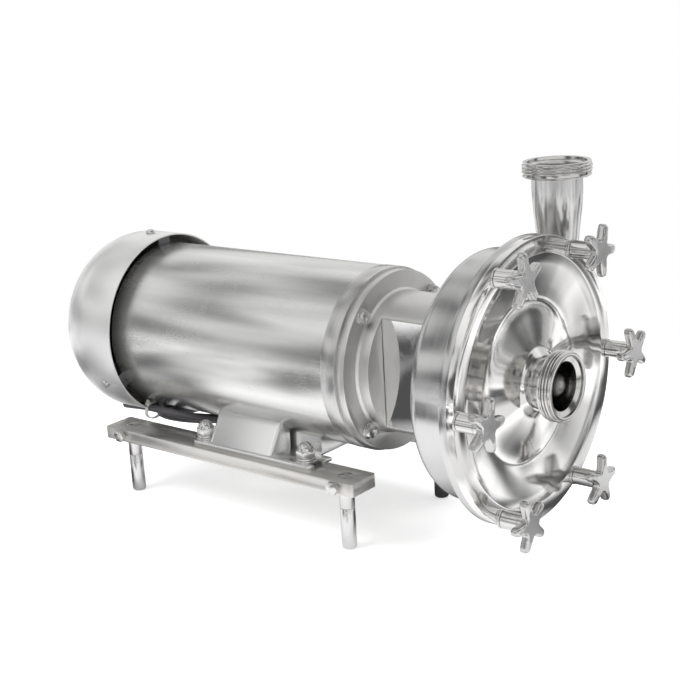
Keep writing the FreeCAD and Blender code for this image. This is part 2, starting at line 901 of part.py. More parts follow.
def make_guards():
    """The two polished plates that close the lantern's windows."""
    clear = size("guard_clearance")
    near = size("window_side")
    far = near + size("guard_thick")
    half = leg_of(size("lantern_radius"), far)
    back = -size("window_back") + clear
    front = drum_back - size("lantern_front_plate") - clear
    group("guard_plates", [
        block("guard_near", (back, -far, -half), (front, -near, half)),
        block("guard_far", (back, near, -half), (front, far, half)),
    ])


def make_bracket_bolts():
    """Four hex bolts with washers through the bracket flange into the end bell."""
    solids = []
    washer = size("bracket_washer_thick")
    head_back = bracket_face + washer
    shank_back = motor_face - size("end_bell_ring") * 0.4
    for index, angle in enumerate(BOLT_ANGLES, start=1):
        side, height = on_circle(size("bracket_bolt_circle"), angle)
        name = "bracket_bolt_%d" % index
        head = hexagon(name + "_head", size("bracket_bolt_head"), size("bracket_bolt_head_height"),
                       (head_back, side, height))
        shank = rod(name + "_shank", size("bracket_bolt_radius"), head_back - shank_back,
                    (shank_back, side, height))
        disc = rod(name + "_disc", size("bracket_washer_radius"), washer, (bracket_face, side, height))
        hole = rod(name + "_disc_hole", size("bracket_bolt_radius") + running, washer,
                   (bracket_face, side, height))
        solids.append(joined(name, [head, shank]))
        solids.append(cut(name + "_washer", disc, hole))
    group("bracket_bolts", solids)


def make_end_bells():
    """The motor's front end bell, with the ring that shows, and its rear one inside the cowl."""
    rim = size("end_bell_radius")
    register = size("body_radius") - size("body_wall") - running
    register_inner = register - 6
    web_back = motor_face - size("end_bell_web")
    housing = size("bearing_outside")
    boss = housing + size("hub_wall")
    bore_back = web_back - size("bearing_width")
    spigot = size("end_bell_spigot_radius")
    body = new_body("front_end_bell")
    turn_outline(body, "front_bell_turned", [
        (motor_face, rim),
        (body_front, rim),
        (body_front, register),
        (body_front - size("register_depth"), register),
        (body_front - size("register_depth"), register_inner),
        (web_back, register_inner),
        (web_back, boss),
        (bore_back, boss),
        (bore_back, housing + running),
        (web_back, housing + running),
        (web_back, size("shaft_passage")),
        (motor_face + size("end_bell_spigot"), size("shaft_passage")),
        (motor_face + size("end_bell_spigot"), spigot),
        (motor_face, spigot),
    ])
    bolt = new_sketch(body, "front_bell_hole_outline", "YZ_Plane", motor_face - size("end_bell_ring") * 0.4)
    side, height = on_circle(size("bracket_bolt_circle"), BOLT_ANGLES[0])
    draw_circle(bolt, side, height, size("bracket_bolt_radius") + running)
    hole = extrude_sketch(body, "front_bell_hole", bolt, size("end_bell_ring") * 0.4, "PartDesign::Pocket")
    repeat_round(body, [hole], len(BOLT_ANGLES))
    finish(body, "front_end_bell")

    rear = new_body("rear_end_bell")
    web_front = body_back + size("end_bell_web")
    bore_front = web_front + size("bearing_width")
    lug_back = cowl_front - size("cowl_screw_back") - size("lug_half_width")
    lug_top = size("cowl_radius") - size("cowl_sheet") - running
    turn_outline(rear, "rear_bell_turned", [
        (body_back, register),
        (body_back + size("register_depth"), register),
        (body_back + size("register_depth"), register_inner),
        (web_front, register_inner),
        (web_front, boss),
        (bore_front, boss),
        (bore_front, housing + running),
        (web_front, housing + running),
        (web_front, size("shaft_passage")),
        (body_back, size("shaft_passage")),
    ])
    half = size("lug_half_width")
    lug = extrude(rear, "lug", "YZ_Plane", [
        (-half, register_inner - 8),
        (half, register_inner - 8),
        (half, leg_of(lug_top, half)),
        (-half, leg_of(lug_top, half)),
    ], lug_back, body_back - lug_back)
    thread = new_sketch(rear, "lug_hole_outline", "XY_Plane", register_inner)
    draw_circle(thread, cowl_front - size("cowl_screw_back"), 0, size("cowl_screw_radius") + running)
    lug_hole = extrude_sketch(rear, "lug_hole", thread, size("cowl_radius") * 0.4, "PartDesign::Pocket")
    repeat_round(rear, [lug, lug_hole], len(COWL_SCREW_ANGLES))
    finish(rear, "rear_end_bell")


def make_motor_body():
    """The motor's round stainless shell."""
    outer = size("body_radius")
    sleeve("motor_body", body_back, body_front, outer - size("body_wall"), outer)


def make_motor_inside():
    """Stator with its winding heads, rotor core and motor shaft."""
    middle = -size("core_middle")
    half = size("core_length") / 2
    outer = size("body_radius") - size("body_wall") - running
    winding = size("winding_length")
    turned("stator", [
        (middle - half, size("stator_bore")),
        (middle + half, size("stator_bore")),
        (middle + half, size("winding_inner")),
        (middle + half + winding, size("winding_inner")),
        (middle + half + winding, size("winding_outer")),
        (middle + half, size("winding_outer")),
        (middle + half, outer),
        (middle - half, outer),
        (middle - half, size("winding_outer")),
        (middle - half - winding, size("winding_outer")),
        (middle - half - winding, size("winding_inner")),
        (middle - half, size("winding_inner")),
    ])
    core = size("shaft_core_radius")
    sleeve("rotor_core", middle - half, middle + half, core + running, size("stator_bore") - size("air_gap"))
    seat = size("bearing_bore")
    front_seat_back = motor_face - size("end_bell_web") - size("bearing_width")
    rear_seat_front = body_back + size("end_bell_web") + size("bearing_width")
    turned("motor_shaft", [
        (motor_face + size("shaft_end_length"), 0),
        (motor_face + size("shaft_end_length"), size("shaft_end_radius")),
        (motor_face, size("shaft_end_radius")),
        (motor_face, seat),
        (front_seat_back, seat),
        (front_seat_back, core),
        (rear_seat_front, core),
        (rear_seat_front, seat),
        (body_back, seat),
        (body_back, size("shaft_tail_radius")),
        (body_back - size("shaft_tail_length"), size("shaft_tail_radius")),
        (body_back - size("shaft_tail_length"), 0),
    ])


def make_bearing(name, back):
    """A ball bearing: outer ring, inner ring, and the balls in their cage."""
    width = size("bearing_width")
    middle = back + width / 2
    pitch = size("bearing_pitch")
    gap = size("race_half_gap")
    ball = size("ball_radius")
    track = ball + running
    half_track = leg_of(track, gap)
    sunk = half_track
    turned(name + "_outer", [
        (back, pitch + gap),
        (middle - sunk, pitch + gap, track, -1),
        (middle + sunk, pitch + gap),
        (back + width, pitch + gap),
        (back + width, size("bearing_outside")),
        (back, size("bearing_outside")),
    ])
    turned(name + "_inner", [
        (back, pitch - gap),
        (middle - sunk, pitch - gap, track, 1),
        (middle + sunk, pitch - gap),
        (back + width, pitch - gap),
        (back + width, size("bearing_bore") + running),
        (back, size("bearing_bore") + running),
    ])
    body = new_body(name + "_balls")
    turn_outline(body, name + "_cage", [
        (middle - 1.2, pitch - 1),
        (middle + 1.2, pitch - 1),
        (middle + 1.2, pitch + 1),
        (middle - 1.2, pitch + 1),
    ])
    sphere = body.newObject("PartDesign::AdditiveSphere", name + "_ball")
    bind(sphere, "Radius", ball)
    bind(sphere, "Placement.Base.x", middle)
    bind(sphere, "Placement.Base.z", pitch)
    repeat_round(body, [sphere], BALLS)
    finish(body, name + "_balls")


def make_fan():
    """The cooling fan: hub, disc and straight radial blades."""
    place = body_back - size("fan_gap")
    disc_back = place - size("fan_disc")
    hub_back = disc_back - size("fan_blade_height") * 0.6
    body = new_body("cooling_fan")
    bore = size("shaft_tail_radius") + running
    turn_outline(body, "fan_turned", [
        (hub_back, bore),
        (place + 3, bore),
        (place + 3, size("fan_hub_radius")),
        (place, size("fan_hub_radius")),
        (place, size("fan_radius")),
        (disc_back, size("fan_radius")),
        (disc_back, size("fan_hub_radius")),
        (hub_back, size("fan_hub_radius")),
    ])
    half = size("fan_blade_thick") / 2
    blade = extrude(body, "fan_blade", "YZ_Plane", [
        (-half, size("fan_hub_radius") - 3),
        (half, size("fan_hub_radius") - 3),
        (half, size("fan_radius") * 0.9),
        (-half, size("fan_radius") * 0.9),
    ], disc_back - size("fan_blade_height"), size("fan_blade_height") + 1)
    repeat_round(body, [blade], FAN_BLADES)
    finish(body, "cooling_fan")


def make_cowl():
    """The fan cowl: a pressed shell with a rounded back and air slots round its middle."""
    outer = size("cowl_radius")
    inner = outer - size("cowl_sheet")
    big = size("cowl_round")
    small = big - size("cowl_sheet")
    back = cowl_back + size("cowl_dome")
    wall = size("cowl_sheet")
    body = new_body("fan_cowl")
    turn_outline(body, "cowl_turned", [
        (cowl_front, inner),
        (cowl_front, outer),
        (back + big, outer, big, 1),
        (back, outer - big),
        (cowl_back, size("cowl_slot_inner") - 4),
        (cowl_back, 0),
        (cowl_back + wall, 0),
        (cowl_back + wall, size("cowl_slot_inner") - 4),
        (back + wall, inner - small, small, -1),
        (back + wall + small, inner),
    ])
    half = size("cowl_slot_width") / 2
    slot = extrude(body, "air_slot", "YZ_Plane", [
        (-half, size("cowl_slot_inner")),
        (half, size("cowl_slot_inner")),
        (half, size("cowl_slot_outer")),
        (-half, size("cowl_slot_outer")),
    ], cowl_back - 1, size("cowl_dome") + 8, "PartDesign::Pocket")
    repeat_round(body, [slot], COWL_SLOTS)
    screw = new_sketch(body, "cowl_hole_outline", "XY_Plane", inner - 6)
    draw_circle(screw, cowl_front - size("cowl_screw_back"), 0, size("cowl_screw_radius") + 0.2)
    hole = extrude_sketch(body, "cowl_hole", screw, 12, "PartDesign::Pocket")
    pattern = body.newObject("PartDesign::PolarPattern", "cowl_hole_pattern")
    pattern.Originals = [hole]
    pattern.Axis = (origin_item(body, "X_Axis"), [""])
    pattern.Angle = 360.0
    pattern.Occurrences = len(COWL_SCREW_ANGLES)
    body.Tip = pattern
    finish(body, "fan_cowl")


def make_cowl_screws():
    """Three round-headed screws that hold the cowl to the rear end bell."""
    screws = []
    head = size("cowl_screw_head")
    radius = size("cowl_screw_radius")
    foot = size("body_radius") - size("body_wall") - 4
    outside = size("cowl_radius") + running
    top = outside + size("cowl_screw_head_height")
    for angle in COWL_SCREW_ANGLES:
        body = new_body("cowl_screw_%d" % angle)
        sketch = new_sketch(body, "cowl_screw_outline_%d" % angle, "XZ_Plane")
        draw_outline(sketch, [
            (0, foot),
            (radius, foot),
            (radius, outside),
            (head, outside),
            (head * 0.8, top),
            (0, top),
        ])
        feature = body.newObject("PartDesign::Revolution", "cowl_screw_turned_%d" % angle)
        feature.Profile = sketch
        feature.ReferenceAxis = (sketch, ["V_Axis"])
        feature.Angle = 360.0
        body.Placement = FreeCAD.Placement(Vector(0, 0, 0), Rotation(Vector(1, 0, 0), -angle))
        bind(body, "Placement.Base.x", cowl_front - size("cowl_screw_back"))
        screws.append(body)
    group("cowl_screws", screws)


def make_motor_foot(name, side):
    """A motor foot of folded sheet: slotted plate and hollow pedestal cut to sit on the shell."""
    plate_low = rail_top
    plate_high = rail_top + size("foot_plate")
    outer = size("foot_outer") * side
    inner = size("pedestal_inner") * side
    back = -size("foot_back")
    front = -size("foot_front")
    wall = size("foot_wall")
    corner = size("foot_corner")
    ped_back = -size("pedestal_back")
    ped_front = -size("pedestal_front")
    bridge = -size("bridge_front")
    body = new_body(name)
    extrude(body, name + "_plate", "XY_Plane", [
        (back + corner, outer),
        (front - corner, outer, corner, -side),
        (front, outer - corner * side),
        (front, inner),
        (bridge, inner),
        (bridge, 0),
        (ped_back, 0),
        (ped_back, inner),
        (back, inner),
        (back, outer - corner * side, corner, -side),
    ], plate_low, size("foot_plate"))
    top = -size("body_radius") * 0.68
    extrude(body, name + "_bridge", "XY_Plane", [
        (ped_back, size("bridge_side") * side),
        (bridge, size("bridge_side") * side),
        (bridge, 0),
        (ped_back, 0),
    ], plate_low, top - plate_low)
    extrude(body, name + "_bridge_hollow", "XY_Plane", [
        (ped_back + wall, (size("bridge_side") - wall) * side),
        (bridge - wall, (size("bridge_side") - wall) * side),
        (bridge - wall, 0),
        (ped_back + wall, 0),
    ], plate_low - 1, top - plate_low + 2, "PartDesign::Pocket")
    extrude(body, name + "_pedestal", "YZ_Plane", [
        (size("pedestal_bottom_outer") * side, plate_high),
        (size("pedestal_top_outer") * side, top),
        (inner, top),
        (inner, plate_high),
    ], ped_back, ped_front - ped_back)
    extrude(body, name + "_hollow", "YZ_Plane", [
        ((size("pedestal_bottom_outer") - wall) * side, plate_low),
        ((size("pedestal_top_outer") - wall) * side, top),
        (inner + wall * side, top),
        (inner + wall * side, plate_low),
    ], ped_back + wall, ped_front - ped_back - wall * 2, "PartDesign::Pocket")
    shell = new_sketch(body, name + "_shell_outline", "YZ_Plane", back)
    draw_circle(shell, 0, 0, size("body_radius") + running)
    extrude_sketch(body, name + "_shell", shell, front - back, "PartDesign::Pocket")
    slot = size("foot_slot_radius")
    across = size("foot_bolt_side") * side
    for end, bolt, direction in ((back, -size("foot_bolt_back"), -1), (front, -size("foot_bolt_front"), 1)):
        reach = end + direction
        corners = [
            (bolt, across + slot, slot * 1.001, direction),
            (bolt, across - slot),
            (reach, across - slot),
            (reach, across + slot),
        ]
        extrude(body, name + "_slot_%s" % ("back" if direction < 0 else "front"), "XY_Plane", corners,
                plate_low - 1, size("foot_plate") + 2, "PartDesign::Pocket")
    finish(body, name)


def make_foot_fasteners():
    """Four studs in the rails with flat washer, lock washer and acorn nut."""
    solids = []
    stud = size("foot_stud_radius")
    plate_high = rail_top + size("foot_plate")
    lock_low = plate_high + size("foot_washer_thick")
    nut_low = lock_low + size("lock_washer_thick")
    number = 0
    for along in (-size("foot_bolt_front"), -size("foot_bolt_back")):
        for across in (-size("foot_bolt_side"), size("foot_bolt_side")):
            number += 1
            name = "foot_stud_%d" % number
            solids.append(rod(name, stud, nut_low + 6 - rail_bottom, (along, across, rail_bottom), "Z"))
            for part, low, radius, thick in (
                ("flat_washer", plate_high, size("foot_washer_radius"), size("foot_washer_thick")),
                ("lock_washer", lock_low, size("lock_washer_radius"), size("lock_washer_thick")),
            ):
                disc = rod("%s_%s_disc" % (name, part), radius, thick, (along, across, low), "Z")
                hole = rod("%s_%s_hole" % (name, part), stud + running, thick, (along, across, low), "Z")
                solids.append(cut("%s_%s" % (name, part), disc, hole))
            prism = hexagon(name + "_hex", size("acorn_hex"), size("acorn_hex_height"),
                            (along, across, nut_low), "Z")
            dome = doc.addObject("Part::Sphere", name + "_dome")
            bind(dome, "Radius", size("acorn_dome_radius"))
            dome.Angle1 = 0.0
            for prop, value in zip("xyz", (along, across, nut_low + size("acorn_hex_height"))):
                bind(dome, "Placement.Base.%s" % prop, value)
            thread = rod(name + "_thread", stud + running, 6.5, (along, across, nut_low), "Z")
            solids.append(cut(name + "_nut", joined(name + "_blank", [prism, dome]), thread))
    group("foot_fasteners", solids)


def make_rail(name, side):
    """A flat bar along the shaft with rounded upright corners and holes for legs and studs."""
    body = new_body(name)
    front = -size("rail_front")
    back = front - size("rail_length")
    low = size("rail_side") * side - size("rail_width") / 2
    high = size("rail_side") * side + size("rail_width") / 2
    r = size("rail_round")
    extrude(body, name + "_bar", "XY_Plane", [
        (back + r, low),
        (front - r, low, r, 1),
        (front, low + r),
        (front, high - r, r, 1),
        (front - r, high),
        (back + r, high, r, 1),
        (back, high - r),
        (back, low + r, r, 1),
    ], rail_bottom, size("rail_thick"))
    holes = new_sketch(body, name + "_holes_outline", "XY_Plane", rail_bottom - 1)
    for leg in (-size("leg_front"), -size("leg_front") - size("leg_spacing")):
        draw_circle(holes, leg, size("rail_side") * side, size("leg_radius") + running)
    for bolt in (-size("foot_bolt_front"), -size("foot_bolt_back")):
        draw_circle(holes, bolt, size("foot_bolt_side") * side, size("foot_stud_radius") + running)
    extrude_sketch(body, name + "_holes", holes, size("rail_thick") + 2, "PartDesign::Pocket")
    tapped = new_sketch(body, name + "_tapped_outline", "XZ_Plane", 0)
    for leg in (-size("leg_front"), -size("leg_front") - size("leg_spacing")):
        draw_circle(tapped, leg, rail_top - size("rail_thick") / 2, size("set_bolt_radius") + running)
    drill = body.newObject("PartDesign::Pocket", name + "_tapped")
    drill.Profile = tapped
    drill.Reversed = side < 0
    bind(tapped, "AttachmentOffset.Base.z", size("rail_side") * -side)
    bind(drill, "Length", size("rail_width"))
    finish(body, name)


def leg_places():
    """The four legs as (number, x, side)."""
    front = -size("leg_front")
    back = front - size("leg_spacing")
    return [(1, front, -1), (2, front, 1), (3, back, -1), (4, back, 1)]


def make_leg_studs():
    """The four upper legs: a round collar held in the rail and a threaded stud below it."""
    studs = []
    for number, along, side in leg_places():
        across = size("rail_side") * side
        collar = rod("leg_collar_%d" % number, size("leg_radius"), rail_top - foot_top,
                     (along, across, foot_top), "Z")
        stud_low = -size("shaft_height") + size("foot_floor") + size("stud_end_gap")
        stud = rod("leg_thread_%d" % number, size("leg_stud_radius"), foot_top - stud_low + 1,
                   (along, across, stud_low), "Z")
        half = size("leg_slot_width") / 2
        reach = size("leg_radius") + 1
        slot = block("leg_slot_%d" % number,
                     (along - reach, across - half, rail_top - size("leg_slot_depth")),
                     (along + reach, across + half, rail_top + 1))
        studs.append(cut("leg_stud_%d" % number, joined("leg_blank_%d" % number, [collar, stud]), slot))
    group("leg_studs", studs)


def make_level_foot(number, along, side):
    """A round level foot with a blind threaded bore and a rounded lower edge."""
    name = "level_foot_%d" % number
    body = new_body(name)
    top = foot_top - size("flat_gap")
    floor = -size("shaft_height")
    radius = size("leg_radius")
    edge = size("foot_edge_round")
    bore = size("leg_stud_radius") + running
    bore_end = floor + size("foot_floor")
    sketch = new_sketch(body, name + "_outline", "XZ_Plane")
    draw_outline(sketch, [
        (bore, top),
        (radius, top),
        (radius, floor + edge, edge, -1),
        (radius - edge, floor),
        (0, floor),
        (0, bore_end),
        (bore, bore_end),
    ])
    feature = body.newObject("PartDesign::Revolution", name + "_turned")
    feature.Profile = sketch
    feature.ReferenceAxis = (sketch, ["V_Axis"])
    feature.Angle = 360.0
    finish(body, name, (along, size("rail_side") * side, 0))


def make_set_bolts():
    """Hex bolts in the outer edge of the rails that clamp the legs."""
    bolts = []
    height = rail_top - size("rail_thick") / 2
    outer = size("rail_side") + size("rail_width") / 2
    tip = size("rail_side") + size("leg_radius") + running
    head = size("set_bolt_head_height")
    for number, along, side in leg_places():
        name = "set_bolt_%d" % number
        shank_start = tip if side > 0 else -outer
        head_start = outer if side > 0 else -outer - head
        shank = rod(name + "_shank", size("set_bolt_radius"), outer - tip, (along, shank_start, height), "Y")
        cap = hexagon(name + "_head", size("set_bolt_head"), head, (along, head_start, height), "Y")
        bolts.append(joined(name, [shank, cap]))
    group("leg_set_bolts", bolts)


def make_terminal_box():
    """The terminal box on the far side of the motor shell, its cover and the cable gland."""
    front = -size("box_front")
    back = front - size("box_length")
    half = size("box_half_height")
    wall = size("box_wall")
    side = size("box_side")
    inside = size("body_radius") * 0.8
    outer = block("box_outer", (back, inside, -half), (front, side, half))
    hollow = block("box_hollow", (back + wall, inside, -half + wall), (front - wall, side + 1, half - wall))
    shell = rod("box_seat", size("body_radius") + running, size("box_length") + 2, (back - 1, 0, 0))
    gland_y = size("gland_side")
    gland_z = -size("gland_height")
    hole = rod("box_gland_hole", size("gland_radius") * 0.7 + running, wall + 2, (back - 1, gland_y, gland_z))
    opened = cut("box_opened", cut("box_shell", outer, hollow), shell)
    finish(cut("terminal_box", opened, hole), "terminal_box")
    lid = block("terminal_cover", (0, 0, 0), (front - back, size("box_cover"), half * 2))
    finish(lid, "terminal_cover", (back, side, -half))
    nut = hexagon("gland_hex", size("gland_radius"), size("gland_length") * 0.5,
                  (back - size("gland_length") * 0.5, gland_y, gland_z))
    cap = rod("gland_cap", size("gland_radius") * 0.8, size("gland_length") * 0.5,
              (back - size("gland_length"), gland_y, gland_z))
    stem = rod("gland_stem", size("gland_radius") * 0.7, wall, (back, gland_y, gland_z))
    finish(joined("cable_gland", [nut, cap, stem]), "cable_gland")


def rounded_route(points):
    """A wire of straight runs joined by arcs, each as large as its two runs allow."""
    edges = []
    here = points[0]
    for before, corner, after in zip(points, points[1:], points[2:]):
        arriving = (corner - before).normalize()
        leaving = (after - corner).normalize()
        half_turn = arriving.getAngle(leaving) / 2
        back_off = 0.45 * min((corner - before).Length, (after - corner).Length)
        radius = back_off / math.tan(half_turn)
        print("cable turn of %.0f degrees, radius %.1f" % (math.degrees(2 * half_turn), radius))
        start = corner - arriving * back_off
        end = corner + leaving * back_off
        inward = (leaving - arriving).normalize()
        bulge = radius / math.cos(half_turn) - radius
        edges.append(Part.LineSegment(here, start).toShape())
        edges.append(Part.Arc(start, corner + inward * bulge, end).toShape())
        here = end
    edges.append(Part.LineSegment(here, points[-1]).toShape())
    return Part.Wire(edges)


def cable_tube(points, radius):
    """A round tube along a rounded route, its volume checked against its length."""
    path = rounded_route(points)
    direction = (points[1] - points[0]).normalize()
    section = Part.Wire(Part.makeCircle(radius, points[0], direction))
    tube = path.makePipeShell([section], True, False)
    expected = math.pi * radius ** 2 * path.Length
    print("cable run of %.0f mm, volume %.4f of the expected" % (path.Length, tube.Volume / expected))
    return tube


def oval_prism(x, half_wide, half_long, low, height):
    """An upright oval block under the motor, its long way nearly across the shaft."""
    oval = Part.Ellipse(Vector(0, 0, 0), half_wide, half_long).toShape()
    face = Part.Face(Part.Wire(oval))
    face.rotate(Vector(0, 0, 0), Vector(0, 0, 1), 90 - SIZES["coil_turned"])
    face.translate(Vector(x, 0, low))
    return face.extrude(Vector(0, 0, height))


def make_cable():
    """The lead from the gland to the coil, the coil's outer shape, its tail, and the tie."""
    radius = SIZES["cable_radius"]
    rest = -SIZES["rail_top_drop"] + radius
    coil_x = -SIZES["coil_middle_back"]
    half_wide = SIZES["coil_half_width"]
    half_long = SIZES["coil_half_length"]
    band = SIZES["coil_turns"] * 2 * radius
    sag = SIZES["coil_sag"]
    edge = SIZES["rail_side"] - SIZES["rail_width"] / 2
    bow = (edge ** 2 + sag ** 2) / (2 * sag)
    bow_height = rest + 0.1 - sag + bow
    reach = 2 * half_long + 4
    bow_start = Vector(coil_x - reach / 2, 0, bow_height)
    slab = Part.makeCylinder(bow + radius, reach, bow_start, Vector(1, 0, 0))
    slab = slab.cut(Part.makeCylinder(bow - radius, reach, bow_start, Vector(1, 0, 0)))
    skew = Rotation(Vector(0, 0, 1), -SIZES["coil_turned"])
    middle = Vector(coil_x, 0, 0)
    ring = oval_prism(coil_x, half_wide, half_long, rest - 30, 60)
    ring = ring.cut(oval_prism(coil_x, half_wide - band, half_long - band, rest - 31, 62))
    coil_shape = biggest(ring.common(slab))

    gland_end = -SIZES["box_front"] - SIZES["box_length"] - SIZES["gland_length"]
    gland_y = SIZES["gland_side"]
    gland_z = -SIZES["gland_height"]
    lead_points = [
        Vector(gland_end, gland_y, gland_z),
        Vector(gland_end - 30, gland_y, gland_z),
        Vector(gland_end - 62, gland_y - 4, gland_z - 22),
        Vector(gland_end - 68, gland_y - 12, gland_z - 56),
        Vector(gland_end - 48, gland_y - 24, rest + 9),
        Vector(gland_end - 12, gland_y - 35, rest + 9.5),
        Vector(gland_end + 20, gland_y - 44, rest + 7),
        middle + skew.multVec(Vector(0, half_wide - radius, rest + 0.2)),
    ]
    tail_points = [
        middle + skew.multVec(Vector(0, radius - half_wide, rest)),
        Vector(coil_x - 58, -57.5, rest - 2),
        Vector(coil_x - 80, -54, rest - 5),
        Vector(coil_x - 101, -46, rest - 6.5),
    ]
    lead_shape = cable_tube(lead_points, radius).cut(coil_shape)
    tail_shape = cable_tube(tail_points, radius).cut(coil_shape)
    coil = doc.addObject("Part::Feature", "cable_coil")
    coil.Shape = coil_shape
    finish(coil, "cable_coil")
    lead = doc.addObject("Part::Feature", "cable_lead")
    lead.Shape = Part.makeCompound([biggest(lead_shape), biggest(tail_shape)])
    finish(lead, "cable_lead")

    angle = math.radians(SIZES["tie_angle"])
    place = skew.multVec(Vector((half_long - band / 2) * math.cos(angle), (half_wide - band / 2) * math.sin(angle), 0))
    across = math.degrees(math.atan2(half_long * math.sin(angle), half_wide * math.cos(angle)))
    wide = SIZES["tie_width"]
    thick = SIZES["tie_thick"]
    half_across = band / 2 + 0.2
    half_high = radius + 0.6
    heading = math.radians(across - SIZES["coil_turned"])
    out = Vector(math.cos(heading), math.sin(heading), 0)
    along = Vector(-math.sin(heading), math.cos(heading), 0)
    height = bow_height - math.sqrt(bow ** 2 - place.y ** 2)
    centre = Vector(coil_x, 0, height) + place - along * (wide / 2)
    outside = upright_frame(centre, out, half_across + thick, half_high + thick).extrude(along * wide)
    inside = upright_frame(centre, out, half_across, half_high).extrude(along * wide)
    strap = outside.cut(inside)
    tie = doc.addObject("Part::Feature", "cable_tie")
    tie.Shape = biggest(strap.cut(coil_shape))
    finish(tie, "cable_tie")


def upright_frame(centre, out, half_across, half_high):
    """An upright rectangle about a point."""
    corners = []
    for across, up in ((-1, -1), (1, -1), (1, 1), (-1, 1), (-1, -1)):
        corners.append(centre + out * (across * half_across) + Vector(0, 0, up * half_high))
    return Part.Face(Part.makePolygon(corners))


def biggest(shape):
    """The largest solid of a shape."""
    return max(shape.Solids, key=lambda solid: solid.Volume)


def build():
    """Makes every sub-part."""
    make_casing()
    make_outlet()
    make_cover()
    make_inlet()
    make_gasket()
    make_cover_studs()
    for index, (angle, turn) in enumerate(KNOBS, start=1):
        make_knob(index, angle, turn)
        make_knob_washer(index, angle)
    make_impeller()
    make_impeller_nut()
    make_pump_shaft()
    make_seal()
    make_lantern()
    make_guards()
    make_bracket_bolts()
    make_end_bells()
    make_motor_body()
    make_motor_inside()
    make_bearing("front_bearing", motor_face - size("end_bell_web") - size("bearing_width"))
    make_bearing("rear_bearing", body_back + size("end_bell_web"))
    make_fan()
    make_cowl()
    make_cowl_screws()
    make_motor_foot("motor_foot_near", -1)
    make_motor_foot("motor_foot_far", 1)
    make_foot_fasteners()
    make_rail("rail_near", -1)
    make_rail("rail_far", 1)
    make_leg_studs()
    for number, along, side in leg_places():
        make_level_foot(number, along, side)
    make_set_bolts()
    make_terminal_box()
    make_cable()


def check_and_write():
    """Stops on any failed object or bad shape, then writes one STEP file for each sub-part."""
    doc.recompute()
    failed = [item.Name for item in doc.Objects if "Invalid" in item.State or "Error" in item.State]
    if failed:
        for item in doc.Objects:
            if item.Name in failed:
                print(item.Name, item.getStatusString())
        raise RuntimeError("failed objects: %s" % ", ".join(failed))
    for item in finished:
        if item.Shape.isNull() or not item.Shape.isValid():
            raise RuntimeError("bad shape: %s" % item.Label)
    os.makedirs("parts", exist_ok=True)
    for item in finished:
        item.Shape.exportStep("parts/%s.step" % item.Label)
        solids = len(item.Shape.Solids)
        box = item.Shape.BoundBox
        print("%-24s %2d solids  x %.1f %.1f  y %.1f %.1f  z %.1f %.1f" % (
            item.Label, solids, box.XMin, box.XMax, box.YMin, box.YMax, box.ZMin, box.ZMax))
    print(len(finished), "sub-parts")


build()
check_and_write()
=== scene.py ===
# %% [markdown]
# The pump stands on four round feet, and every measured part of it is already here as the packed
# frame. This first cell loads that frame and takes down the size of the bare model, so that the cast
# knobs can be kept within its width later. Blender works in metres.

# %% Load the frame
import bmesh
import bpy
import json
import math
from mathutils import Matrix, Vector


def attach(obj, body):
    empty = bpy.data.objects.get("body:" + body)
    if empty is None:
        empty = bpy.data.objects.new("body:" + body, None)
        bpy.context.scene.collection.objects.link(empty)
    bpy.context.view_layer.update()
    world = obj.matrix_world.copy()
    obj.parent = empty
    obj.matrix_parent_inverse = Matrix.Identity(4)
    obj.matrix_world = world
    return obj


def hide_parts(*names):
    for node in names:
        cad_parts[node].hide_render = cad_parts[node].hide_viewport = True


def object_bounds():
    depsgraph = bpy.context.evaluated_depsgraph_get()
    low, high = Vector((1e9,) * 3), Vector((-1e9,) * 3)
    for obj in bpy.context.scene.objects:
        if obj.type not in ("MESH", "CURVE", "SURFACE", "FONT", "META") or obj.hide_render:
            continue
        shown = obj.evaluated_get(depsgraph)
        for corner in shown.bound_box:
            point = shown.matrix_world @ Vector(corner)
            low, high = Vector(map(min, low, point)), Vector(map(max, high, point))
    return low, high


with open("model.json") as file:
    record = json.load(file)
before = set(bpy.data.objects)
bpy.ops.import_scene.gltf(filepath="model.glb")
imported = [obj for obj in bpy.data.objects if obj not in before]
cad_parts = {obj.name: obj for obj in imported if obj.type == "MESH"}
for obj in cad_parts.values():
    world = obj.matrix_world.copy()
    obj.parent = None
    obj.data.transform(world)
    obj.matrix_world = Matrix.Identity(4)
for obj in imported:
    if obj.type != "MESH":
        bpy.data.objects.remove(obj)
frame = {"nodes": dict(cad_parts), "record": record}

cad_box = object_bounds()
nodes = frame["nodes"]
MM = 0.001
print("frame box", cad_box)

# %% [markdown]
# The pump's own drawing frame has the shaft on the X axis and x = 0 at the cover's front face. The
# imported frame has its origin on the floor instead, so one helper turns millimetres along the shaft,
# across it and above it into packed metres. The two lines that pieces are turned about come with it,
# each as one point on it.

# %% Where the shaft is
SHAFT_HEIGHT = 184.0
COVER_FACE = 290.75


def place(along, across, up):
    """A point given from the cover's face on the shaft, in millimetres, as packed metres."""
    return Vector(((along + COVER_FACE) * MM, across * MM, (up + SHAFT_HEIGHT) * MM))


ON_SHAFT = place(0, 0, 0)
OUTLET_AXIS = place(-37, 106, 0)
print("cover face on the shaft", tuple(round(value, 4) for value in ON_SHAFT))

# %% [markdown]
# Materials and the studio are made of nodes. Three small helpers serve them all: one turns a colour
# picked on a screen into linear light, one empties a node tree, and one adds any node with its
# settings and links, so that a chain of nodes reads from top to bottom.

# %% Colours and nodes
def colour(text):
    """An sRGB hex value as linear red, green, blue and alpha."""
    parts = [int(text[i:i + 2], 16) / 255 for i in (1, 3, 5)]
    linear = [c / 12.92 if c <= 0.04045 else ((c + 0.055) / 1.055) ** 2.4 for c in parts]
    return (*linear, 1.0)


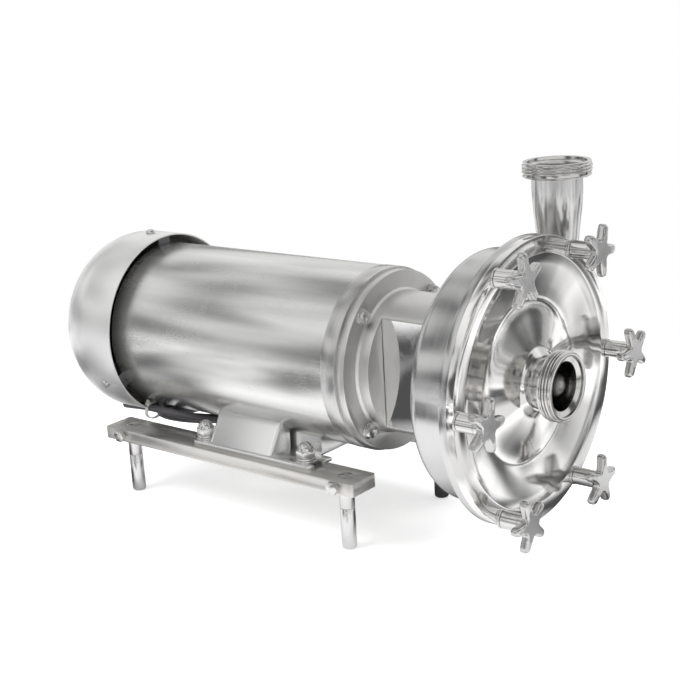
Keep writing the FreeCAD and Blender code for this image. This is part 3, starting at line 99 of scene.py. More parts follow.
def fresh_tree(owner):
    """Turns nodes on for a world or a material and hands over its emptied node tree."""
    owner.use_nodes = True
    owner.node_tree.nodes.clear()
    return owner.node_tree


def add(tree, kind, inputs=None, **settings):
    """Adds one node with its settings; an input is a value, or a socket to link from."""
    made = tree.nodes.new(kind)
    for name, value in settings.items():
        setattr(made, name, value)
    for name, value in (inputs or {}).items():
        if isinstance(value, bpy.types.NodeSocket):
            tree.links.new(value, made.inputs[name])
        else:
            made.inputs[name].default_value = value
    return made


# %% [markdown]
# The camera stands where the photographer stood: in front of the suction side and a little above
# the shaft, with the frame shifted so that the pump sits low and to the right of the lens axis.

# %% Camera
scene = bpy.context.scene
scene.view_settings.view_transform = "Standard"
LENS_AZIMUTH = math.radians(43.14)
LENS_ELEVATION = math.radians(15.37)
LENS_ROLL = math.radians(-4.28)
back = Vector((
    math.sin(LENS_AZIMUTH) * math.cos(LENS_ELEVATION),
    -math.cos(LENS_AZIMUTH) * math.cos(LENS_ELEVATION),
    math.sin(LENS_ELEVATION),
))
level_right = Vector((math.cos(LENS_AZIMUTH), math.sin(LENS_AZIMUTH), 0))
level_up = back.cross(level_right)
right = level_right * math.cos(LENS_ROLL) + level_up * math.sin(LENS_ROLL)
up = level_up * math.cos(LENS_ROLL) - level_right * math.sin(LENS_ROLL)
camera_data = bpy.data.cameras.new("photo_camera")
camera_data.sensor_width = 36.0
camera_data.lens = 74.62
camera_data.shift_x = 0.1315
camera_data.shift_y = 0.0107
camera_data.clip_end = 20.0
camera = bpy.data.objects.new("photo_camera", camera_data)
turn = Matrix((right, up, back)).transposed().to_4x4()
camera.matrix_world = Matrix.Translation(place(689.7, -1137.1, 414.1)) @ turn
scene.collection.objects.link(camera)
scene.camera = camera
print("camera lens", camera_data.lens, "mm")

# %% [markdown]
# Bare steel has no colour of its own to speak of: it shows the studio. So mirrored rays find the
# world as the pump would see a studio, soft bright panels with dark gaps between them. What is matt
# gets an even pale light from it, and the camera itself sees plain white.

# %% Studio world
WHITE = colour("#ffffff")
EVEN_LIGHT = 0.62
world = bpy.data.worlds.new("studio")
scene.world = world
tree = fresh_tree(world)
rays = add(tree, "ShaderNodeLightPath")
aim = add(tree, "ShaderNodeTexCoord")
drawn = add(tree, "ShaderNodeMapping", {"Vector": aim.outputs["Generated"], "Scale": (1.0, 1.0, 1.6)})
soft = add(tree, "ShaderNodeTexNoise", {
    "Vector": drawn.outputs[0], "Scale": 1.7, "Detail": 1.5, "Roughness": 0.45})
panels = add(tree, "ShaderNodeValToRGB", {"Fac": soft.outputs["Fac"]})
gap_stop, panel_stop = panels.color_ramp.elements
gap_stop.position = 0.39
gap_stop.color = colour("#5d5d5e")
panel_stop.position = 0.52
panel_stop.color = WHITE
flat = add(tree, "ShaderNodeBackground", {"Color": WHITE, "Strength": EVEN_LIGHT})
seen = add(tree, "ShaderNodeBackground", {"Color": panels.outputs["Color"], "Strength": 1.0})
white = add(tree, "ShaderNodeBackground", {"Color": WHITE, "Strength": 1.0})
mirror = add(tree, "ShaderNodeMixShader", {
    0: rays.outputs["Is Glossy Ray"], 1: flat.outputs[0], 2: seen.outputs[0]})
view = add(tree, "ShaderNodeMixShader", {
    0: rays.outputs["Is Camera Ray"], 1: mirror.outputs[0], 2: white.outputs[0]})
add(tree, "ShaderNodeOutputWorld", {"Surface": view.outputs[0]})
print("world nodes", len(tree.nodes))

# %% [markdown]
# Three softboxes light what is matt: a key in front, one from the side and one above. They don't
# show in mirrored rays, because the panels of the world stand in for them there, and a sharp white
# oblong in the steel would look like a window.

# %% Softboxes
def softbox(name, at, look_at, wide, high, watts):
    """One rectangular lamp that faces a point of the pump."""
    lamp = bpy.data.lights.new(name, "AREA")
    lamp.shape = "RECTANGLE"
    lamp.size = wide
    lamp.size_y = high
    lamp.energy = watts
    holder = bpy.data.objects.new(name, lamp)
    holder.location = at
    holder.rotation_euler = (look_at - at).to_track_quat("-Z", "Y").to_euler()
    holder.visible_glossy = False
    scene.collection.objects.link(holder)
    print(name, watts, "W")


MIDDLE = place(-250, 0, 0)
softbox("key_softbox", Vector((-0.9, -1.6, 2.0)), MIDDLE, 1.2, 1.2, 26)
softbox("side_softbox", Vector((2.2, -0.4, 1.3)), MIDDLE, 0.8, 1.6, 12)
softbox("top_softbox", Vector((0.0, 0.5, 2.4)), MIDDLE, 1.6, 1.0, 14)

# %% [markdown]
# The floor is a white paper sweep. It keeps the pump's soft shadow close by and runs out to paper
# white a step away, as a lit sweep does. What polished steel sees of it is painted in light and dark
# patches, which stand in for the stands, flags and table edges of a studio in mirrored rays.

# %% Paper floor
FLOOR_SIZE = 12.0
# How far from the middle the shadow starts to fade, and where the sheet is paper white
FADE_START, FADE_END = 0.36, 0.85
# How much the sheet shines by itself, as the camera sees it and as a mirror does
SHEET_GLOW = 0.52
PATCH_GLOW = 0.35
bpy.ops.object.select_all(action="DESELECT")
bpy.ops.mesh.primitive_plane_add(size=FLOOR_SIZE, location=(0, 0, 0))
floor = bpy.context.object
floor.name = "paper_floor"
# Coated background paper: matt and white, with no gloss of its own
paper = bpy.data.materials.new("white_paper")
tree = fresh_tree(paper)
rays = add(tree, "ShaderNodeLightPath")
spot = add(tree, "ShaderNodeTexCoord")
distance = add(tree, "ShaderNodeVectorMath", {0: spot.outputs["Object"]}, operation="LENGTH")
away = add(tree, "ShaderNodeMapRange", {
    "Value": distance.outputs["Value"], "From Min": FADE_START, "From Max": FADE_END},
    interpolation_type="SMOOTHSTEP")
lit = add(tree, "ShaderNodeBsdfDiffuse", {"Color": colour("#f6f6f6")})
glow = add(tree, "ShaderNodeEmission", {"Color": WHITE, "Strength": SHEET_GLOW})
near_sheet = add(tree, "ShaderNodeAddShader", {0: lit.outputs[0], 1: glow.outputs[0]})
far_sheet = add(tree, "ShaderNodeEmission", {"Color": WHITE, "Strength": 1.0})
sheet = add(tree, "ShaderNodeMixShader", {
    0: away.outputs[0], 1: near_sheet.outputs[0], 2: far_sheet.outputs[0]})
# Painted reflection: light and dark patches on the sheet that only mirrored rays see
patches = add(tree, "ShaderNodeTexNoise", {
    "Vector": spot.outputs["Object"], "Scale": 2.6, "Detail": 2.0, "Roughness": 0.5})
broken = add(tree, "ShaderNodeValToRGB", {"Fac": patches.outputs["Fac"]})
dark_stop, light_stop = broken.color_ramp.elements
dark_stop.position = 0.41
dark_stop.color = colour("#4b4b4c")
light_stop.position = 0.53
light_stop.color = colour("#f8f8f9")
patch_lit = add(tree, "ShaderNodeBsdfDiffuse", {"Color": broken.outputs["Color"]})
patch_glow = add(tree, "ShaderNodeEmission", {"Color": broken.outputs["Color"], "Strength": PATCH_GLOW})
mirrored = add(tree, "ShaderNodeAddShader", {0: patch_lit.outputs[0], 1: patch_glow.outputs[0]})
bounced = add(tree, "ShaderNodeMixShader", {
    0: rays.outputs["Is Glossy Ray"], 1: lit.outputs[0], 2: mirrored.outputs[0]})
both = add(tree, "ShaderNodeMixShader", {
    0: rays.outputs["Is Camera Ray"], 1: bounced.outputs[0], 2: sheet.outputs[0]})
add(tree, "ShaderNodeOutputMaterial", {"Surface": both.outputs[0]})
floor.data.materials.append(paper)
print("floor nodes", len(tree.nodes))

# %% [markdown]
# Bare stainless steel is told apart by what its making left on it. Rolled and brushed sheet has long
# fine lines and pulls a highlight out across them, a turned face has rings about the shaft, a
# blasted casting is even and dull, and a polished dish is nearly a mirror, with faint wipe marks and
# a painted fan of reflected light and dark from rim to neck. One function makes them all from those
# few facts, with every pattern sized in real millimetres.

# %% Metal finishes
# The lowest roughness of any finish
SMOOTHEST = 0.02
# How strongly brushing pulls a highlight, and which way from the brushed lines
BRUSH_PULL = 0.7
QUARTER_TURN = 0.25
GRAIN_DEPTH = 0.2 * MM
# Wipe marks are patches about 40 mm across with ragged edges
WIPES_IN_A_METRE = 26.0


def bare(name, base, rough, spread=0.05, metallic=1.0, grain=(700, 700, 700), bump=0.05, cloud=8,
         cloudy=0.15, rings=False, drawn=None, bands=None, wiped=0.0, painted_reflection_fans=0.0):
    """A bare surface: tone, bands or painted reflection fans in it, polish and wipe marks, grain and
    its pull.

    Scales are cells in a metre. grain is one for each axis; with rings it counts along the shaft and
    out from it. bands are scales and the darkest and lightest share, the painted reflection fans about
    the shaft take their value off the colour at the darkest, and wiped is how much duller a wiped place
    is.
    """
    material = bpy.data.materials.new(name)
    tree = fresh_tree(material)
    shader = add(tree, "ShaderNodeBsdfPrincipled", {"Metallic": metallic})
    where = add(tree, "ShaderNodeTexCoord")
    vector = where.outputs["Object"]
    centred = add(tree, "ShaderNodeVectorMath", {0: vector, 1: tuple(ON_SHAFT)}, operation="SUBTRACT")
    outward = add(tree, "ShaderNodeVectorMath", {0: centred.outputs[0], 1: (0, 1, 1)},
                  operation="MULTIPLY")
    lines_from = vector
    if rings:
        ring = add(tree, "ShaderNodeVectorMath", {0: outward.outputs[0]}, operation="LENGTH")
        apart = add(tree, "ShaderNodeSeparateXYZ", {0: vector})
        joined = add(tree, "ShaderNodeCombineXYZ", {0: apart.outputs[0], 1: ring.outputs["Value"]})
        lines_from = joined.outputs[0]
    stretched = add(tree, "ShaderNodeMapping", {"Vector": lines_from, "Scale": grain})
    lines = add(tree, "ShaderNodeTexNoise", {
        "Vector": stretched.outputs[0], "Scale": 1.0, "Detail": 3.0, "Roughness": 0.6})
    clouds = add(tree, "ShaderNodeTexNoise", {
        "Vector": vector, "Scale": cloud, "Detail": 4.0, "Roughness": 0.55})
    tone = add(tree, "ShaderNodeMixRGB", {0: cloudy, 1: colour(base), 2: clouds.outputs["Fac"]},
               blend_type="OVERLAY")
    levels = []
    if bands is not None:
        scale, dark, light = bands
        long_way = add(tree, "ShaderNodeMapping", {"Vector": vector, "Scale": scale})
        band = add(tree, "ShaderNodeTexNoise", {
            "Vector": long_way.outputs[0], "Scale": 1.0, "Detail": 3.0, "Roughness": 0.5})
        level = add(tree, "ShaderNodeMapRange", {
            "Value": band.outputs["Fac"], "From Min": 0.36, "From Max": 0.64,
            "To Min": dark, "To Max": light})
        levels.append(level.outputs[0])
    # Painted reflection: fans of light and dark about the shaft, darkened into the colour
    if painted_reflection_fans:
        facing = add(tree, "ShaderNodeVectorMath", {0: outward.outputs[0]}, operation="NORMALIZE")
        spokes = add(tree, "ShaderNodeTexNoise", {
            "Vector": facing.outputs[0], "Scale": 2.0, "Detail": 1.6, "Roughness": 0.45})
        shade = add(tree, "ShaderNodeMapRange", {
            "Value": spokes.outputs["Fac"], "From Min": 0.4, "From Max": 0.58,
            "To Min": 1 - painted_reflection_fans, "To Max": 1.0})
        levels.append(shade.outputs[0])
    tint = tone.outputs[0]
    for level in levels:
        grey = add(tree, "ShaderNodeCombineXYZ", {0: level, 1: level, 2: level})
        darker = add(tree, "ShaderNodeMixRGB", {0: 1.0, 1: tint, 2: grey.outputs[0]},
                     blend_type="MULTIPLY")
        tint = darker.outputs[0]
    tree.links.new(tint, shader.inputs["Base Color"])
    together = add(tree, "ShaderNodeMath", {0: lines.outputs["Fac"], 1: clouds.outputs["Fac"]},
                   operation="ADD")
    polish = add(tree, "ShaderNodeMapRange", {
        "Value": together.outputs[0], "From Min": 0.7, "From Max": 1.3,
        "To Min": max(rough - spread, SMOOTHEST), "To Max": rough + spread})
    marks = add(tree, "ShaderNodeTexNoise", {
        "Vector": vector, "Scale": WIPES_IN_A_METRE, "Detail": 5.0, "Roughness": 0.65,
        "Distortion": 0.8})
    wipe = add(tree, "ShaderNodeMapRange", {
        "Value": marks.outputs["Fac"], "From Min": 0.52, "From Max": 0.72,
        "To Min": 0.0, "To Max": wiped})
    dulled = add(tree, "ShaderNodeMath", {0: polish.outputs[0], 1: wipe.outputs[0]}, operation="ADD")
    tree.links.new(dulled.outputs[0], shader.inputs["Roughness"])
    if drawn is not None:
        shader.inputs["Anisotropic"].default_value = BRUSH_PULL
        shader.inputs["Anisotropic Rotation"].default_value = QUARTER_TURN
        along = add(tree, "ShaderNodeCombineXYZ", {0: 1.0, 1: 0.0, 2: 0.0})
        pull = along.outputs[0]
        if drawn == "round":
            about = add(tree, "ShaderNodeVectorMath", {0: along.outputs[0], 1: centred.outputs[0]},
                        operation="CROSS_PRODUCT")
            unit = add(tree, "ShaderNodeVectorMath", {0: about.outputs[0]}, operation="NORMALIZE")
            pull = unit.outputs[0]
        tree.links.new(pull, shader.inputs["Tangent"])
    relief = add(tree, "ShaderNodeBump", {
        "Height": lines.outputs["Fac"], "Strength": bump, "Distance": GRAIN_DEPTH})
    tree.links.new(relief.outputs[0], shader.inputs["Normal"])
    add(tree, "ShaderNodeOutputMaterial", {"Surface": shader.outputs[0]})
    return material


# %% [markdown]
# The steels of the pump head: the drum is spun and brushed round, the cover polished to a mirror,
# the ports turned, the knobs cast and tumbled, and the lantern bracket behind them bead-blasted.

# %% Steels of the pump head
finishes = {
    # Spun and brushed round: rings, and a highlight drawn out along the shaft
    "satin_steel": bare("brushed_drum_steel", "#cdcdcc", 0.22, 0.04, grain=(900, 900, 900),
                        rings=True, drawn="round", bands=((9, 4, 4), 0.84, 1.0), wiped=0.04),
    # Turned: bright crests with fine rings across the light
    "thread_steel": bare("turned_thread_steel", "#c9c8c6", 0.16, 0.05, grain=(1400, 1400, 1400),
                         rings=True, cloudy=0.08),
    # Polished to a mirror from rim to neck, with painted fans of reflected light and dark, wiped dull
    # in faint places
    "polished_steel": bare("mirror_polished_steel", "#efeeec", 0.10, 0.02, grain=(600, 1500, 900),
                           bump=0.02, rings=True, drawn="round", painted_reflection_fans=0.36, cloudy=0.06, wiped=0.03),
    # Rubbery and even: the pale line between the two flanges
    "white_gasket": bare("white_silicone", "#e4e2dc", 0.5, metallic=0.0, grain=(200, 200, 200),
                         bump=0.02, cloud=20, cloudy=0.05),
    # Rolled and electropolished: small, sharp glints on each bolt
    "bright_fasteners": bare("bright_bolt_steel", "#d2d1d0", 0.2, 0.04, grain=(500, 500, 500),
                             bump=0.02, cloud=60, wiped=0.04),
    # Cast, then machined: open rings on vanes and disc
    "wetted_casting": bare("machined_impeller_steel", "#c8c7c4", 0.26, 0.06, rings=True, cloud=20,
                           cloudy=0.2),
    # Turned and ground: a bright shaft with hair-fine rings
    "turned_shaft": bare("turned_shaft_steel", "#cbcac8", 0.2, grain=(900, 900, 900), rings=True,
                         cloud=20),
    # Pressed and lapped: black with a low sheen
    "carbon_ring": bare("pressed_carbon", "#2c2c2e", 0.55, 0.08, metallic=0.0, bump=0.02, cloud=30),
    # Fired: off-white and glazed by lapping
    "ceramic_ring": bare("fired_ceramic", "#ddd8ce", 0.3, metallic=0.0, bump=0.02, cloud=30,
                         cloudy=0.05),
    # Bead-blasted: dull, even grey with a fine bite
    "blasted_casting": bare("blasted_casting", "#d6d5d3", 0.40, 0.08, grain=(1100, 1100, 1100),
                            bump=0.2, cloud=24, cloudy=0.34),
    # Mirror sheet: the guard plate shows the floor
    "mirror_guard": bare("mirror_guard_sheet", "#dcdcdb", 0.05, 0.02, grain=(100, 900, 900),
                         bump=0.015, cloudy=0.05, wiped=0.12),
    # Investment cast and tumbled: satin, with soft bright edges
    "cast_knob": bare("cast_knob_steel", "#c4c3c2", 0.23, 0.03, grain=(350, 350, 350), bump=0.01,
                      cloud=60, cloudy=0.15, wiped=0.05),
}
print("finishes of the pump head", len(finishes))

# %% [markdown]
# The steels of the motor and its stand: the shell is brushed along the sheet, the feet are pressed
# and smooth, the cowl is spun and satin, the flat bars are brushed lengthwise and a little warm, and
# the legs are polished. Then each CAD piece takes the finish of its slot.

# %% Steels of the motor and the stand
finishes.update({
    # Brushed sheet, with long soft bands of painted reflected light along the motor in its colour
    "brushed_shell": bare("brushed_shell_sheet", "#e6e6e4", 0.25, 0.03, metallic=0.92,
                          grain=(16, 2200, 2200), bump=0.02, bands=((1.8, 22, 22), 0.68, 1.0),
                          cloudy=0.1, wiped=0.04),
    # Turned ring: crisp rings on its edge
    "machined_ring": bare("machined_ring_steel", "#d6d5d4", 0.3, grain=(1400, 1400, 1400), bump=0.06,
                          rings=True, drawn="round", bands=((60, 8, 8), 0.8, 1.0), cloud=14),
    # Sand-cast aluminium: granular, in a grey that is partly its own and partly painted shade of the
    # gap under the cowl
    "inner_casting": bare("cast_aluminium", "#7d7e80", 0.5, 0.08, grain=(500, 500, 500), bump=0.2,
                          cloud=20, cloudy=0.2),
    # Enamelled copper under varnish: brown with wet lines
    "winding_pack": bare("varnished_copper", "#8d4a26", 0.35, 0.1, metallic=0.6, grain=(40, 900, 900),
                         bump=0.3, cloud=30, cloudy=0.3),
    # Stacked sheets: fine lines across the shaft
    "rotor_laminations": bare("stacked_laminations", "#8d8d8f", 0.38, 0.06, grain=(1600, 40, 40),
                              bump=0.25, cloud=20, cloudy=0.2),
    # Ground rings and balls: nearly mirror
    "bearing_steel": bare("ground_bearing_steel", "#cfcfd1", 0.12, 0.04, grain=(800, 800, 800),
                          cloud=20),
    # Moulded nylon: black and slightly soft
    "fan_plastic": bare("black_nylon", "#2a2a2c", 0.5, 0.06, metallic=0.0, grain=(500, 500, 500),
                        cloud=30),
    # Spun and satin finished: pale, with faint hand marks
    "cowl_steel": bare("spun_cowl_sheet", "#ebebea", 0.36, 0.04, metallic=0.88, grain=(500, 500, 500),
                       bump=0.03, rings=True, cloud=9, cloudy=0.08, wiped=0.06),
    # Pressed sheet: light, smooth satin with hardly a line in it
    "foot_sheet": bare("folded_foot_sheet", "#ececeb", 0.24, 0.01, metallic=0.92,
                       grain=(20, 900, 900), bump=0.002, cloud=14, cloudy=0.06),
    # Brushed flat bar: mid grey, a little warm
    "brushed_bar": bare("brushed_flat_bar", "#d8d6d2", 0.34, 0.05, metallic=0.92,
                        grain=(26, 1600, 1600), bump=0.05, drawn="along",
                        bands=((6, 90, 90), 0.85, 1.0), cloud=18, cloudy=0.2),
    # Polished bar: legs that mirror the studio softly
    "polished_leg": bare("polished_leg_bar", "#d3d2d1", 0.16, 0.02, grain=(900, 900, 20), bump=0.01,
                         cloud=30, cloudy=0.06),
    # Nickel over brass: a warm bright gland
    "gland_brass": bare("nickel_plated_brass", "#d6d2c8", 0.2, grain=(500, 500, 500), cloud=30,
                        cloudy=0.1),
    # Rubber sheath: dark grey with a soft highlight
    "cable_sheath": bare("rubber_cable_sheath", "#504e52", 0.42, 0.06, metallic=0.0,
                         grain=(300, 300, 300), cloud=40),
    # Moulded nylon: off-white tie
    "tie_nylon": bare("white_nylon", "#e9e9e6", 0.35, metallic=0.0, grain=(300, 300, 300), bump=0.03,
                      cloud=40, cloudy=0.05),
})
slot_of = {entry["node"]: entry["material_slot"] for entry in frame["record"]["subparts"]}
for node, slot in slot_of.items():
    mesh = nodes[node].data
    mesh.materials.clear()
    mesh.materials.append(finishes[slot])
print("finishes", len(finishes))

# %% [markdown]
# Most of a pump is made on a lathe, so one helper does the same here. It adds a ring of vertices,
# then extrudes, moves and scales it from station to station along its axis, as one would by hand in
# edit mode. A station is a distance along the axis and a radius, both in millimetres.

# %% A lathe
DIRECTIONS = {
    "X": (Vector((1, 0, 0)), (0, math.pi / 2, 0)),
    "Z": (Vector((0, 0, 1)), (0, 0, 0)),
}


def lathe(name, stations, origin, direction, around):
    """A turned piece: a ring extruded through stations about an axis, the last joined to the first."""
    axis, rotation = DIRECTIONS[direction]
    first_along, first_radius = stations[0]
    bpy.ops.object.select_all(action="DESELECT")
    bpy.ops.mesh.primitive_circle_add(
        vertices=around, radius=first_radius * MM, location=origin + axis * first_along * MM,
        rotation=rotation)
    piece = bpy.context.object
    piece.name = name
    bpy.ops.object.transform_apply(location=True, rotation=True, scale=True)
    bpy.ops.object.mode_set(mode="EDIT")
    bpy.ops.mesh.select_all(action="SELECT")
    along, radius = first_along, first_radius
    for next_along, next_radius in stations[1:]:
        move = axis * (next_along - along) * MM
        bpy.ops.mesh.extrude_edges_move(TRANSFORM_OT_translate={"value": move})
        ratio = next_radius / radius
        bpy.ops.transform.resize(value=(ratio, ratio, ratio))
        along, radius = next_along, next_radius
    bpy.ops.object.mode_set(mode="OBJECT")
    last_ring = len(piece.data.vertices) - around
    for edge in piece.data.edges:
        on_first = all(vertex < around for vertex in edge.vertices)
        on_last = all(vertex >= last_ring for vertex in edge.vertices)
        edge.select = on_first or on_last
    bpy.ops.object.mode_set(mode="EDIT")
    bpy.ops.mesh.select_mode(type="EDGE")
    bpy.ops.mesh.bridge_edge_loops()
    bpy.ops.mesh.select_all(action="SELECT")
    bpy.ops.mesh.normals_make_consistent(inside=False)
    bpy.ops.object.mode_set(mode="OBJECT")
    return piece


# %% [markdown]
# Every piece ends the same way. It gets the finish of its slot, shading that is smooth up to an angle,
# and the CAD body that it moves with. Modifiers are applied as soon as they are added, so that the
# mesh itself holds the shape. An operator acts on all that is selected, so a piece is picked first.

# %% From a shape to a piece
def pick(*pieces):
    """Selects some objects and nothing else, with the first one active."""
    bpy.ops.object.select_all(action="DESELECT")
    for piece in pieces:
        piece.select_set(True)
    bpy.context.view_layer.objects.active = pieces[0]


def finish_piece(piece, body, slot, replaced=(), angle=30):
    """Gives a piece its finish, its shading and its place on a body."""
    piece.data.materials.clear()
    piece.data.materials.append(finishes[slot])
    pick(piece)
    bpy.ops.object.shade_smooth_by_angle(angle=math.radians(angle))
    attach(piece, body)
    if replaced:
        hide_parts(*replaced)
    return piece


def apply_modifier(piece, kind, **settings):
    """Adds one modifier and applies it."""
    pick(piece)
    modifier = piece.modifiers.new(kind.lower(), kind)
    for key, value in settings.items():
        setattr(modifier, key, value)
    bpy.ops.object.modifier_apply(modifier=modifier.name)


def round_edges(piece, width, sharp=30, **settings):
    """Rounds the edges sharper than an angle in degrees, by a width in millimetres."""
    apply_modifier(piece, "BEVEL", width=width * MM, segments=2, limit_method="ANGLE",
                   angle_limit=math.radians(sharp), **settings)


def join(pieces, name):
    """Joins several pieces into one object."""
    pick(*pieces)
    bpy.ops.object.join()
    pieces[0].name = name
    return pieces[0]


# %% [markdown]
# Both ports carry a round thread, with crests like the back of a spoon so that it can be washed. One
# crest is half a small circle; a Screw modifier winds it up the port, and its two ends are pressed
# down into the core so that the thread runs out softly.

# %% Threaded ports
PITCH = 25.4 / 8
CORE_RADIUS = 33.0
CREST_RADIUS = 35.0
# How deep the crests are sunk in the core, half of one crest's width, and the length of a run-out
SUNK = 0.3
HALF_CREST = PITCH * 0.42
RUN_OUT = 2.6
# Radii of the ports' turned blanks
TUBE_BORE = 24.3
TUBE_RADIUS = 25.5
SEAT_RADIUS = 29.5
COLLAR = 33.2


def round_thread(name, origin, direction, start, length):
    """The wound crests of a round thread over its core, from a start along the axis."""
    axis, rotation = DIRECTIONS[direction]
    radial = Vector((0, 0, 1)) if direction == "X" else Vector((1, 0, 0))
    wound = length - 2 * HALF_CREST
    bpy.ops.object.select_all(action="DESELECT")
    middle = origin + axis * (start + HALF_CREST) * MM + radial * (CORE_RADIUS - SUNK) * MM
    bpy.ops.mesh.primitive_circle_add(
        vertices=20, radius=HALF_CREST * MM, location=middle, rotation=(math.pi / 2, 0, 0))
    piece = bpy.context.object
    piece.name = name
    bpy.ops.object.transform_apply(location=True, rotation=True, scale=True)
    height = (CREST_RADIUS - CORE_RADIUS + SUNK) / HALF_CREST
    for vertex in piece.data.vertices:
        away = (vertex.co - middle).dot(radial)
        vertex.co += radial * away * (height - 1)
    bpy.ops.object.mode_set(mode="EDIT")
    bpy.ops.mesh.select_all(action="DESELECT")
    bpy.ops.object.mode_set(mode="OBJECT")
    for vertex in piece.data.vertices:
        vertex.select = (vertex.co - middle).dot(radial) < -0.01 * MM
    bpy.ops.object.mode_set(mode="EDIT")
    bpy.ops.mesh.select_mode(type="VERT")
    bpy.ops.mesh.delete(type="VERT")
    bpy.ops.mesh.select_all(action="SELECT")
    windings = max(1, int(wound / PITCH))
    bpy.ops.object.mode_set(mode="OBJECT")
    for vertex in piece.data.vertices:
        vertex.co -= origin
    piece.location = origin
    apply_modifier(piece, "SCREW", axis=direction, angle=2 * math.pi * wound / PITCH,
                   screw_offset=wound * MM, iterations=1, use_merge_vertices=False,
                   steps=64 * windings, render_steps=64 * windings, use_smooth_shade=True)
    bpy.ops.object.transform_apply(location=True, rotation=True, scale=True)
    for vertex in piece.data.vertices:
        along = (vertex.co - origin).dot(axis) / MM
        near_end = min(along - start, start + length - along) / RUN_OUT
        if near_end < 1:
            flat = (vertex.co - origin) - axis * along * MM
            wanted = CORE_RADIUS - SUNK + (flat.length / MM - CORE_RADIUS + SUNK) * max(near_end, 0)
            vertex.co += flat.normalized() * (wanted * MM - flat.length)
    return piece


def threaded_port(name, origin, direction, body_stations, thread_start, thread_length, node):
    """A port ferrule: turned blank, wound thread and its finish."""
    blank = lathe(name + "_blank", body_stations, origin, direction, around=128)
    round_edges(blank, 0.35)
    thread = round_thread(name + "_thread", origin, direction, thread_start, thread_length)
    whole = finish_piece(join([blank, thread], name), "frame", "thread_steel", [node])
    print(name, "faces", len(whole.data.polygons))


threaded_port("inlet_port", ON_SHAFT, "X", [
    (-3.6, TUBE_BORE), (-3.6, TUBE_RADIUS), (16.8, TUBE_RADIUS), (18.8, 33.6), (19.6, 34.2),
    (20.4, COLLAR), (32.6, COLLAR), (33.0, 33.9), (33.8, COLLAR), (33.8, SEAT_RADIUS),
    (30.8, SEAT_RADIUS), (29.0, TUBE_BORE)],
    20.2, 13.0, "inlet_ferrule")
threaded_port("outlet_port", OUTLET_AXIS, "Z", [
    (183.0, TUBE_BORE), (183.0, 33.8), (183.8, 34.4), (184.6, COLLAR), (196.8, COLLAR), (197.2, 33.9),
    (198.0, COLLAR), (198.0, SEAT_RADIUS), (195.0, SEAT_RADIUS), (193.2, TUBE_BORE)],
    184.6, 12.8, "outlet_ferrule")

# %% [markdown]
# A drawing has knife edges and a real part doesn't. Sheet is deburred, bar is filed, a casting comes
# out of its mould round, and it is these small rounds that catch the light. Each steel piece is
# copied from its CAD node, its loose triangles are merged into clean faces, and its sharp edges are
# rounded by what its making would leave, in millimetres.

# %% Rounded edges
SAME_PLACE = 0.002 * MM
SAME_FACE = math.radians(0.6)


def merged_copy(node, name):
    """A copy of one CAD piece with its triangles merged into clean faces."""
    mesh = nodes[node].data.copy()
    mesh.name = name
    piece = bpy.data.objects.new(name, mesh)
    scene.collection.objects.link(piece)
    pick(piece)
    if mesh.has_custom_normals:
        bpy.ops.mesh.customdata_custom_splitnormals_clear()
    bpy.ops.object.mode_set(mode="EDIT")
    bpy.ops.mesh.select_all(action="SELECT")
    bpy.ops.mesh.remove_doubles(threshold=SAME_PLACE)
    bpy.ops.mesh.dissolve_limited(angle_limit=SAME_FACE)
    bpy.ops.mesh.normals_make_consistent(inside=False)
    bpy.ops.object.mode_set(mode="OBJECT")
    return piece


def rounded(node, width, body="frame", sharp=32):
    """Stands a copy with rounded edges in for one CAD piece."""
    piece = merged_copy(node, node + "_rounded")
    round_edges(piece, width, sharp, miter_outer="MITER_ARC", harden_normals=False)
    return finish_piece(piece, body, slot_of[node], [node], angle=sharp)


ROUNDS = {
    "rail_near": 0.9, "rail_far": 0.9, "leg_studs": 0.35, "leg_set_bolts": 0.3,
    "bracket_bolts": 0.45, "cowl_screws": 0.35, "foot_fasteners": 0.4,
    "front_end_bell": 0.6, "casing": 0.8, "terminal_box": 2.0, "terminal_cover": 0.8,
    "cable_gland": 0.6, "motor_body": 0.4, "cover_studs": 0.5, "lantern_bracket": 1.4,
}
for node, width in ROUNDS.items():
    piece = rounded(node, width)
    print(node, "faces", len(piece.data.polygons))

# %% [markdown]
# The fan cowl is spun from one sheet and only polished outside. The inside keeps the dull skin of
# the mill, so the copy gets a second material there: on faces that look in towards the shaft, and on
# the back wall's inner side.

# %% Fan cowl
COWL_BACK_WALL = 105.0
# Mill skin on rolled sheet: dull and pale, so that the inside stays quiet behind the grille
mill_inside = bare("unpolished_cowl_inside", "#e6e5e2", 0.55, 0.08, metallic=0.3, grain=(500, 500, 500),
                   rings=True, cloud=14)
cowl = rounded("fan_cowl", 0.5)
cowl.data.materials.append(mill_inside)
for face in cowl.data.polygons:
    outward = Vector((0, face.center.y, face.center.z - ON_SHAFT.z))
    looks_in = face.normal.dot(outward.normalized()) < -0.2
    looks_forward = face.normal.x > 0.2 and outward.length < COWL_BACK_WALL * MM
    face.material_index = 1 if looks_in or looks_forward else 0
print(cowl.name, "faces", len(cowl.data.polygons))

# %% [markdown]
# The outlet neck is drawn down from tube over a mandrel, so its taper has no corner in it. A copy is
# cut into rings and each ring of its outer skin is brought onto one smooth curve, from the tube's
# radius at the port to the narrow end on the drum.

# %% Outlet neck
NECK_LOW, NECK_HIGH = 98.0, 172.0
NECK_NARROW = 20.0
NECK_CUTS = range(94, 183, 4)
